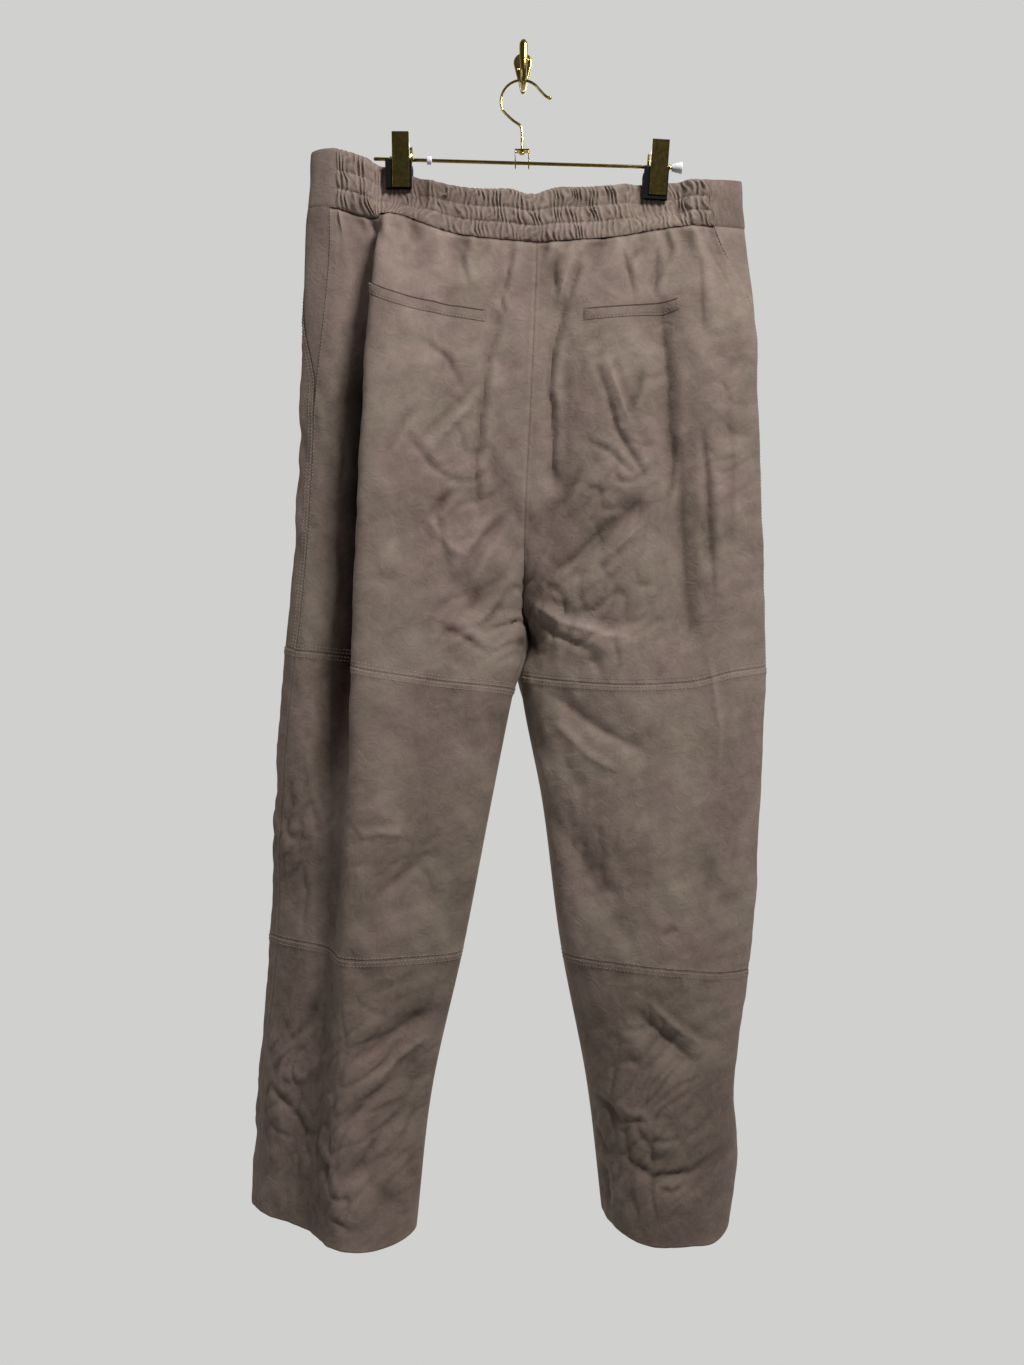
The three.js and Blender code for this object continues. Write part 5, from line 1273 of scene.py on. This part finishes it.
def joined(*shapes):
    """One shape of several, each given as its points and faces."""
    points, faces, count = [], [], 0
    for each, corners in shapes:
        points.append(each)
        faces.append(faces_outwards(each, corners) + count)
        count += len(each)
    return np.concatenate(points), np.concatenate(faces)


# Steps of a wire's domed end, in wire radii.
DOME = np.array([0.02, 0.13, 0.35, 0.65, 1.0])


def wire(corners, radius, count, sides):
    """A round wire with domed ends on a smooth curve through the corners."""
    corners = np.array(corners, float)
    run = np.concatenate([[0], np.cumsum(np.linalg.norm(np.diff(corners, axis=0), axis=1))])
    ends = radius * DOME
    at = np.concatenate([ends, np.linspace(radius, run[-1] - radius, count)[1:-1], run[-1] - ends[::-1]])
    route = np.stack([through_rows(run, corners[:, axis], at) for axis in range(3)], axis=-1)
    left = np.clip(np.minimum(at, run[-1] - at) / radius, 0, 1)
    return swept(route, radius * np.sqrt(1 - (1 - left) ** 2), sides)


def turned(rows, middle, axis, sides):
    """A turned part: rows of distance along the axis from the middle, and radius."""
    rows = np.array(rows, float)
    axis = np.array(axis, float)
    axis /= np.linalg.norm(axis)
    route = np.array(middle, float) + rows[:, :1] * axis
    return swept(route, rows[:, 1], sides, heading=axis)


def disc_rows(length, radius, rim):
    """Rows for a turned disc whose rims have a quarter round."""
    angle = np.linspace(0, math.pi / 2, 5)[::-1]
    first = np.stack([-length / 2 + rim * (1 - np.sin(angle)), radius - rim * (1 - np.cos(angle))], axis=-1)
    last = np.stack([-first[::-1, 0], first[::-1, 1]], axis=-1)
    return np.concatenate([first, last])


def at_bar(x):
    """The middle of the bar at x."""
    return np.array([x, -HANGER_OUT, -bar_down(x)])


def tilted(points, clip_x, tilt):
    """Points turned about the clip's place on the bar, in the plane of the picture."""
    centre = at_bar(clip_x)
    x, y, z = (points - centre).T
    cosine, sine = math.cos(tilt), math.sin(tilt)
    return centre + np.stack([x * cosine + z * sine, y, z * cosine - x * sine], -1)


BAR_AXIS = (1.0, 0.0, -BAR_SLOPE)

# Hook wire of the hanger: x, up. The stem leads into an arc about the hook's centre, between two angles in
# degrees, and the tip turns down.
HOOK_X = -1.4
HOOK_CENTRE_DOWN = 48.8
HOOK_RADIUS = 21.0
HOOK_ARC = (222, 34)
HOOK_STEM = [
    (-1.4, -100.5), (-1.4, -95.0), (-1.4, -90.0), (-1.4, -84.0), (-1.5, -79.5), (-3.0, -73.5), (-10.9, -67.5),
]
HOOK_TIP = [(22.8, -44.0), (26.5, -45.6)]
WIRE_RADIUS = 1.35
BALL_RADIUS, BALL_AXIS = 2.0, (1, 0, -0.4)
HEAD_DOWN = 101.15
# Turned parts of the hanger. A disc has its length, radius and rim, the end cap rows of place and radius.
HOOK_HEAD = (1.6, 2.7, 0.5)
RING, RING_X = (5, 3.9, 0.9), -94
END_CAP_X = 153
END_CAP = [(-5, 2.4), (-5, 3.1), (-4.7, 3.4), (4.4, 5.6), (4.9, 5.7), (5.3, 5.4), (5.5, 4.6), (5.6, 2.0)]
CLIP_STOP, STOP_SHIFT = (1.6, 3.1, 0.5), 11
# Spring of a clip: half its length, the radius of its turns, and that of its wire.
COIL_HALF, COIL_RADIUS, COIL_WIRE = 3.9, 3.1, 0.5
LOOP_WIRE, LOOP_SHIFT = 0.7, 10.1

# Wire loop beside each clip: out and up from the bar.
LOOP_ROUTE = [(0, -3.2), (2.9, -1.2), (2.7, 6), (0, 12.5), (-2.7, 6), (-2.9, -1.2), (0, -3.2), (1.2, -2.8)]

# Strap of the wall hook: out, up, width, thickness.
STRAP = np.array([
    [1.2, -9, 9, 4], [12, -17, 7.5, 4.6], [22, -26, 6.2, 5], [30, -31.6, 5.6, 5.2], [36, -33.4, 5.4, 5.2],
    [42.5, -31.4, 5.6, 5], [46.6, -25, 6.2, 4.6], [48.2, -15, 7.2, 4.2], [48.6, -4, 8.2, 4],
    [48.4, 3, 7.6, 4], [48, 6.4, 4.2, 2.6],
], float)
PLATE_RADIUS = 9.75
PLATE_CENTRE_UP = 11.4
PLATE_FOOT_UP = -18.0
PLATE_FOOT_RADIUS = 2.6
PLATE_RIM = [(0.0, 0.0), (0.0, 1.3), (0.2, 1.9), (0.7, 2.35), (1.5, 2.55), (2.3, 2.6)]
SCREWS = {"wall_screw_upper": (4.7, 13.5), "wall_screw_lower": (-5.0, 3.6)}


class TROUSERS_OT_bar(bpy.types.Operator):
    """Hanger bar with its plastic ring and end cap, the clips' stops, and the swivel hook"""

    bl_idname = "trousers.bar"
    bl_label = "Hanger bar and hook"

    def execute(self, context):
        sides = context.scene.trousers_hanger.tube_sides
        bar = wire([at_bar(BAR_LEFT), at_bar(0), at_bar(BAR_RIGHT)], BAR_RADIUS, 4, 2 * sides)
        add_piece("hanger_bar_round", *bar, finish("brass"), "brass", ["hanger_bar"])
        ring = turned(disc_rows(*RING), at_bar(RING_X), BAR_AXIS, 2 * sides)
        add_piece("bar_ring_round", *ring, finish("plastic"), "cap_plastic", ["bar_ring"])
        cap = turned(END_CAP, at_bar(END_CAP_X), BAR_AXIS, 2 * sides)
        add_piece("bar_end_cap_round", *cap, finish("plastic"), "cap_plastic", ["bar_end_cap"])
        angle = np.radians(np.linspace(*HOOK_ARC, 14)[1:])
        arc = zip(HOOK_X + HOOK_RADIUS * np.cos(angle), -HOOK_CENTRE_DOWN + HOOK_RADIUS * np.sin(angle))
        route = [(x, -HANGER_OUT, up) for x, up in [*HOOK_STEM, *arc, *HOOK_TIP]]
        angle = np.linspace(0.06, math.pi - 0.06, 14)
        ball_rows = np.stack([-BALL_RADIUS * np.cos(angle), BALL_RADIUS * np.sin(angle)], axis=-1)
        ball = turned(ball_rows, route[-1], BALL_AXIS, sides)
        head = turned(disc_rows(*HOOK_HEAD), (HOOK_X, -HANGER_OUT, -HEAD_DOWN), (0, 0, 1), 2 * sides)
        hook = joined(wire(route, WIRE_RADIUS, 120, sides), ball, head)
        add_piece("hanger_hook_round", *hook, finish("brass"), "brass", ["hanger_hook"])
        return {"FINISHED"}


class TROUSERS_OT_clips(bpy.types.Operator):
    """Springs, stops and wire loops of both clips. The bent plates and the pads keep their solids."""

    bl_idname = "trousers.clips"
    bl_label = "Clips"

    def execute(self, context):
        settings = context.scene.trousers_hanger
        sides = settings.tube_sides
        for side, x, tilt, _, _, _, loop_side in CLIPS:
            stop = turned(disc_rows(*CLIP_STOP), at_bar(x - loop_side * STOP_SHIFT), BAR_AXIS, 2 * sides)
            add_piece(f"clip_{side}_stop_round", *stop, finish("brass"), "brass", [f"clip_{side}_stop"])
            angle = np.linspace(0, 2 * math.pi * settings.coil_turns, 18 * settings.coil_turns)
            along = np.linspace(-COIL_HALF, COIL_HALF, len(angle))
            turns = COIL_RADIUS * np.cos(angle), COIL_RADIUS * np.sin(angle) - BAR_SLOPE * along
            coil, faces = wire(at_bar(x) + np.stack([along, *turns], -1), COIL_WIRE, len(angle), 8)
            coil = tilted(coil, x, tilt)
            add_piece(f"clip_{side}_spring_coil", coil, faces, finish("brass"), "brass",
                      [f"clip_{side}_spring"])
            loop_x = x + loop_side * LOOP_SHIFT
            route = [(loop_x, -HANGER_OUT - out, up - bar_down(x)) for out, up in LOOP_ROUTE]
            loop, faces = wire(route, LOOP_WIRE, 60, sides // 2)
            loop = tilted(loop, x, tilt)
            add_piece(f"clip_{side}_loop_round", loop, faces, finish("brass"), "brass",
                      [f"clip_{side}_loop"])
        slots = {part["node"]: part["material_slot"] for part in frame["record"]["subparts"]}
        kept = {"brass": "brass", "pad_rubber": "rubber", "cap_plastic": "plastic"}
        for name, slot in slots.items():
            if slot in kept:
                solid = frame["nodes"][name]
                solid.data.materials.clear()
                solid.data.materials.append(finish(kept[slot]))
        return {"FINISHED"}


class TROUSERS_OT_wall_hook(bpy.types.Operator):
    """Cast wall hook: a drop-shaped plate with a bent prong, and its two slotted screws"""

    bl_idname = "trousers.wall_hook"
    bl_label = "Wall hook"

    def execute(self, context):
        sides = 2 * context.scene.trousers_hanger.tube_sides
        rows = np.arange(len(STRAP))
        at = np.linspace(0, len(STRAP) - 1, 70)
        out, up, width, thickness = [through_rows(rows, STRAP[:, column], at) for column in range(4)]
        route = np.stack([np.zeros(len(at)), -out, up], axis=-1)
        strap = swept(route, np.stack([width / 2, thickness / 2], axis=-1), sides, first_side=(1, 0, 0))
        hook = joined(plate_shape(sides), strap)
        add_piece("wall_hook_cast", *hook, finish("brass"), "brass", ["wall_hook"])
        for name, (x, up) in SCREWS.items():
            add_piece(f"{name}_slotted", *screw_shape(x, up), finish("brass"), "brass", [name])
        return {"FINISHED"}


def plate_shape(sides):
    """The drop outline of two circles and their common tangents, drawn in along the rim's profile."""
    fall = PLATE_CENTRE_UP - PLATE_FOOT_UP
    lean = math.asin((PLATE_RADIUS - PLATE_FOOT_RADIUS) / fall)
    upper = np.linspace(-lean, math.pi + lean, sides)
    lower = np.linspace(math.pi + lean, 2 * math.pi - lean, sides // 2)
    rings = []
    for drawn_in, out in PLATE_RIM:
        big, small = PLATE_RADIUS - drawn_in, PLATE_FOOT_RADIUS - drawn_in
        x = np.concatenate([big * np.cos(upper), small * np.cos(lower)])
        up = np.concatenate([PLATE_CENTRE_UP + big * np.sin(upper), PLATE_FOOT_UP + small * np.sin(lower)])
        rings.append(np.stack([x, np.full(x.shape, -out), up], axis=-1))
    middle = np.array([[0.0, 0.0, PLATE_CENTRE_UP]])
    points = np.concatenate([middle, *rings, middle - [[0, PLATE_RIM[-1][1], 0]]])
    return points, tube_faces(len(rings), len(rings[0]))


# Screw heads: the plate's face under them, rows of radius and height, and the slot's depth, sides and reach.
PLATE_FACE = 2.6
SCREW_ROWS = np.array([
    [1.9, 0], [1.9, 0.35], [1.85, 0.55], [1.7, 0.75], [1.45, 0.92], [1.15, 1.04], [0.85, 1.12], [0.55, 1.17],
    [0.28, 1.2],
])
SLOT_DEPTH = 0.5
SLOT_SIDES, SLOT_REACH = (0.22, 0.4), 1.6


def screw_shape(x, up):
    """A domed screw head, with a slot 0.6 mm wide and 0.5 mm deep across it."""
    radius, height = SCREW_ROWS.T
    angle = np.linspace(0, 2 * math.pi, 49)[:-1]
    across = radius[:, None] * np.cos(angle)
    along = radius[:, None] * np.sin(angle)
    slot = (1 - step_between(*SLOT_SIDES, np.abs(across))) * (radius[:, None] < SLOT_REACH)
    rise = height[:, None] - SLOT_DEPTH * slot
    rings = np.stack([x + across, -PLATE_FACE - rise, up + along], axis=-1)
    top = height[-1] - SLOT_DEPTH
    points = np.concatenate([[[x, -PLATE_FACE, up]], rings.reshape(-1, 3), [[x, -PLATE_FACE - top, up]]])
    return points, tube_faces(len(radius), len(angle))


# The camera: its place in metres, its sensor in millimetres and the picture's height in pixels.
CAMERA_PLACE = (-0.0114, -1.088, -0.63)
SENSOR = 36.0
PICTURE_HEIGHT = 1365
# Soft lights: place, point aimed at, size and the setting that holds the power.
LAMPS = {
    "soft_box_above": ((0.78, -1.15, 0.85), (0.0, 0.0, -0.5), 0.45, "key_power"),
    "soft_box_left": ((-1.5, -1.2, -0.2), (0.0, 0.0, -0.6), 1.0, "fill_power"),
    "soft_box_behind": ((0.6, 1.5, 0.2), (0.0, 0.0, -0.6), 1.4, "back_power"),
}
# Directions, as their share away from the camera, between which the room's light goes from dim to full.
ROOM_SPAN = (-0.6, 0.6)
# Half the side of the floor, and how far its middle lies in front of the origin.
FLOOR_HALF, FLOOR_FORWARD = 900, 250


class TROUSERS_OT_stage(bpy.types.Operator):
    """Pale floor, soft lights and the camera"""

    bl_idname = "trousers.stage"
    bl_label = "Stage"

    def execute(self, context):
        settings = context.scene.trousers_stage
        place_camera(settings)
        light_room(settings)
        for name, (place, aim, size, power) in LAMPS.items():
            add_lamp(name, place, aim, size, getattr(settings, power))
        add_floor(settings)
        return {"FINISHED"}


def place_camera(settings):
    """A level camera that looks straight along Y at the back of the trousers."""
    data = bpy.data.cameras.new("camera")
    data.sensor_width = SENSOR
    data.lens = SENSOR * settings.focal_pixels / PICTURE_HEIGHT
    camera = bpy.data.objects.new("camera", data)
    camera.location = CAMERA_PLACE
    camera.rotation_euler = (math.pi / 2, 0, 0)
    bpy.context.scene.collection.objects.link(camera)
    bpy.context.scene.camera = camera


def light_room(settings):
    """The room is pale behind the trousers and dim behind the camera, which the brass mirrors. The camera
    itself sees it pale all round."""
    world = bpy.data.worlds.new("pale room")
    world.use_nodes = True
    tree = world.node_tree
    background = tree.nodes["Background"]
    background.inputs["Color"].default_value = linear_colour(settings.room_colour)
    direction = node(tree, "ShaderNodeSeparateXYZ", inputs={
        "Vector": node(tree, "ShaderNodeTexCoord").outputs["Generated"]})
    strength = mapped(tree, direction.outputs["Y"], *ROOM_SPAN, settings.dim_strength, settings.room_strength)
    seen = node(tree, "ShaderNodeLightPath").outputs["Is Camera Ray"]
    backdrop = maths(tree, "MULTIPLY", seen, settings.room_strength)
    tree.links.new(maths(tree, "MAXIMUM", strength, backdrop), background.inputs["Strength"])
    bpy.context.scene.world = world
    bpy.context.scene.view_settings.view_transform = "Standard"


def add_lamp(name, place, aim, size, power):
    """A square soft light at a place, turned to the point that it is aimed at."""
    data = bpy.data.lights.new(name, "AREA")
    data.shape = "SQUARE"
    data.size = size
    data.energy = power
    lamp = bpy.data.objects.new(name, data)
    lamp.location = place
    towards = np.array(aim) - np.array(place)
    heading = math.atan2(-towards[0], towards[1])
    pitch = math.atan2(towards[2], math.hypot(towards[0], towards[1]))
    lamp.rotation_euler = (math.pi / 2 + pitch, 0, heading)
    bpy.context.scene.collection.objects.link(lamp)


def add_floor(settings):
    """A matt floor, as far below the hook as the hook hangs high."""
    corner = np.linspace(-FLOOR_HALF, FLOOR_HALF, 19)
    grid_x, grid_y = np.meshgrid(corner, corner - FLOOR_FORWARD, indexing="ij")
    floor = np.stack([grid_x, grid_y, np.full(grid_x.shape, -settings.hook_height)], axis=-1)
    mesh = bpy.data.meshes.new("floor")
    mesh.from_pydata((floor.reshape(-1, 3) * MM).tolist(), [], grid_faces(*grid_x.shape).tolist())
    made, tree, shader, place = start_material("matt painted floor", {"Roughness": 0.9})
    speckle = grain(tree, place, 0.02, 2.0)
    tree.links.new(ramp(tree, speckle, TWO_PLACES, ("#d2d2d0", "#d8d8d6")), shader.inputs["Base Color"])
    mesh.materials.append(made)
    piece = bpy.data.objects.new("floor", mesh)
    bpy.context.scene.collection.objects.link(piece)


class TrousersCloth(bpy.types.PropertyGroup):
    leather_thickness: FloatProperty(
        name="Leather thickness", description="Thickness of the suede, in millimetres",
        default=1.4, min=0.8, max=3)
    crease_depth: FloatProperty(
        name="Crease depth", description="Share of the depth of creases and crumple",
        default=1.5, min=0, max=2)
    gather_depth: FloatProperty(
        name="Gather depth", description="Depth of the gathers, in millimetres", default=2.5, min=0, max=5)
    stitch_pitch: FloatProperty(
        name="Stitch length", description="From stitch to stitch, in millimetres", default=3.4, min=2, max=6)
    thread_radius: FloatProperty(
        name="Thread radius", description="Radius of the thread, in millimetres",
        default=0.36, min=0.1, max=1)
    dark_nap: StringProperty(
        name="Dark nap", description="Suede brushed one way, sRGB hex", default="#584840")
    middle_nap: StringProperty(
        name="Middle nap", description="Suede at its middle tone, sRGB hex", default="#7e6d65")
    light_nap: StringProperty(
        name="Light nap", description="Suede brushed the other way, sRGB hex", default="#98877c")


class TrousersHanger(bpy.types.PropertyGroup):
    tube_sides: IntProperty(
        name="Wire sides", description="Sides of a round wire", default=24, min=8, max=64)
    coil_turns: IntProperty(
        name="Coil turns", description="Turns of each clip's spring", default=8, min=3, max=12)
    edge_radius: FloatProperty(
        name="Edge radius", description="Radius of the plated edges, in millimetres",
        default=0.9, min=0, max=2)
    brass_dark: StringProperty(
        name="Dark brass", description="Brass where it is rubbed, sRGB hex", default="#857840")
    brass_light: StringProperty(
        name="Light brass", description="Brass where it is bright, sRGB hex", default="#c4ab66")


class TrousersStage(bpy.types.PropertyGroup):
    focal_pixels: FloatProperty(
        name="Focal length", description="Focal length in pixels of a 1024 by 1365 picture", default=1050.0)
    hook_height: FloatProperty(
        name="Hook height", description="Height of the hook above the floor, in millimetres", default=2000.0)
    room_colour: StringProperty(
        name="Room colour", description="Colour of the room's light, sRGB hex", default="#c9c9c8")
    room_strength: FloatProperty(
        name="Room strength", description="Strength of the room's light behind the trousers", default=1.08)
    dim_strength: FloatProperty(
        name="Dim strength", description="Strength of the room's light behind the camera", default=0.13)
    key_power: FloatProperty(
        name="Key light", description="Power of the light above the camera", default=42.0, unit="POWER")
    fill_power: FloatProperty(
        name="Fill light", description="Power of the light at the left", default=4.5, unit="POWER")
    back_power: FloatProperty(
        name="Back light", description="Power of the light behind", default=12.0, unit="POWER")


OPERATORS = [
    TROUSERS_OT_waistband, TROUSERS_OT_hip_panels, TROUSERS_OT_leg_panels, TROUSERS_OT_pockets,
    TROUSERS_OT_stitching, TROUSERS_OT_bar, TROUSERS_OT_clips, TROUSERS_OT_wall_hook, TROUSERS_OT_stage,
]


class TROUSERS_PT_sidebar(bpy.types.Panel):
    """Lists the trousers' pieces and their sizes and colours"""

    bl_idname = "TROUSERS_PT_sidebar"
    bl_label = "Suede trousers"
    bl_space_type = "VIEW_3D"
    bl_region_type = "UI"
    bl_category = "Trousers"

    def draw(self, context):
        for operator in OPERATORS:
            self.layout.operator(operator.bl_idname)
        for group in ("trousers_cloth", "trousers_hanger", "trousers_stage"):
            settings = getattr(context.scene, group)
            box = self.layout.box()
            for key in type(settings).__annotations__:
                box.prop(settings, key)


CLASSES = [TrousersCloth, TrousersHanger, TrousersStage, *OPERATORS, TROUSERS_PT_sidebar]
GROUPS = {"trousers_cloth": TrousersCloth, "trousers_hanger": TrousersHanger, "trousers_stage": TrousersStage}


def register():
    for each in CLASSES:
        bpy.utils.register_class(each)
    for name, group in GROUPS.items():
        setattr(bpy.types.Scene, name, PointerProperty(type=group))


def unregister():
    for name in GROUPS:
        delattr(bpy.types.Scene, name)
    for each in reversed(CLASSES):
        bpy.utils.unregister_class(each)


def main():
    """Builds everything by its operators."""
    register()
    bpy.ops.trousers.stage()
    bpy.ops.trousers.waistband()
    bpy.ops.trousers.hip_panels()
    bpy.ops.trousers.leg_panels()
    bpy.ops.trousers.pockets()
    bpy.ops.trousers.stitching()
    bpy.ops.trousers.bar()
    bpy.ops.trousers.clips()
    bpy.ops.trousers.wall_hook()
    bpy.context.view_layer.update()


if __name__ == "__main__":
    main()
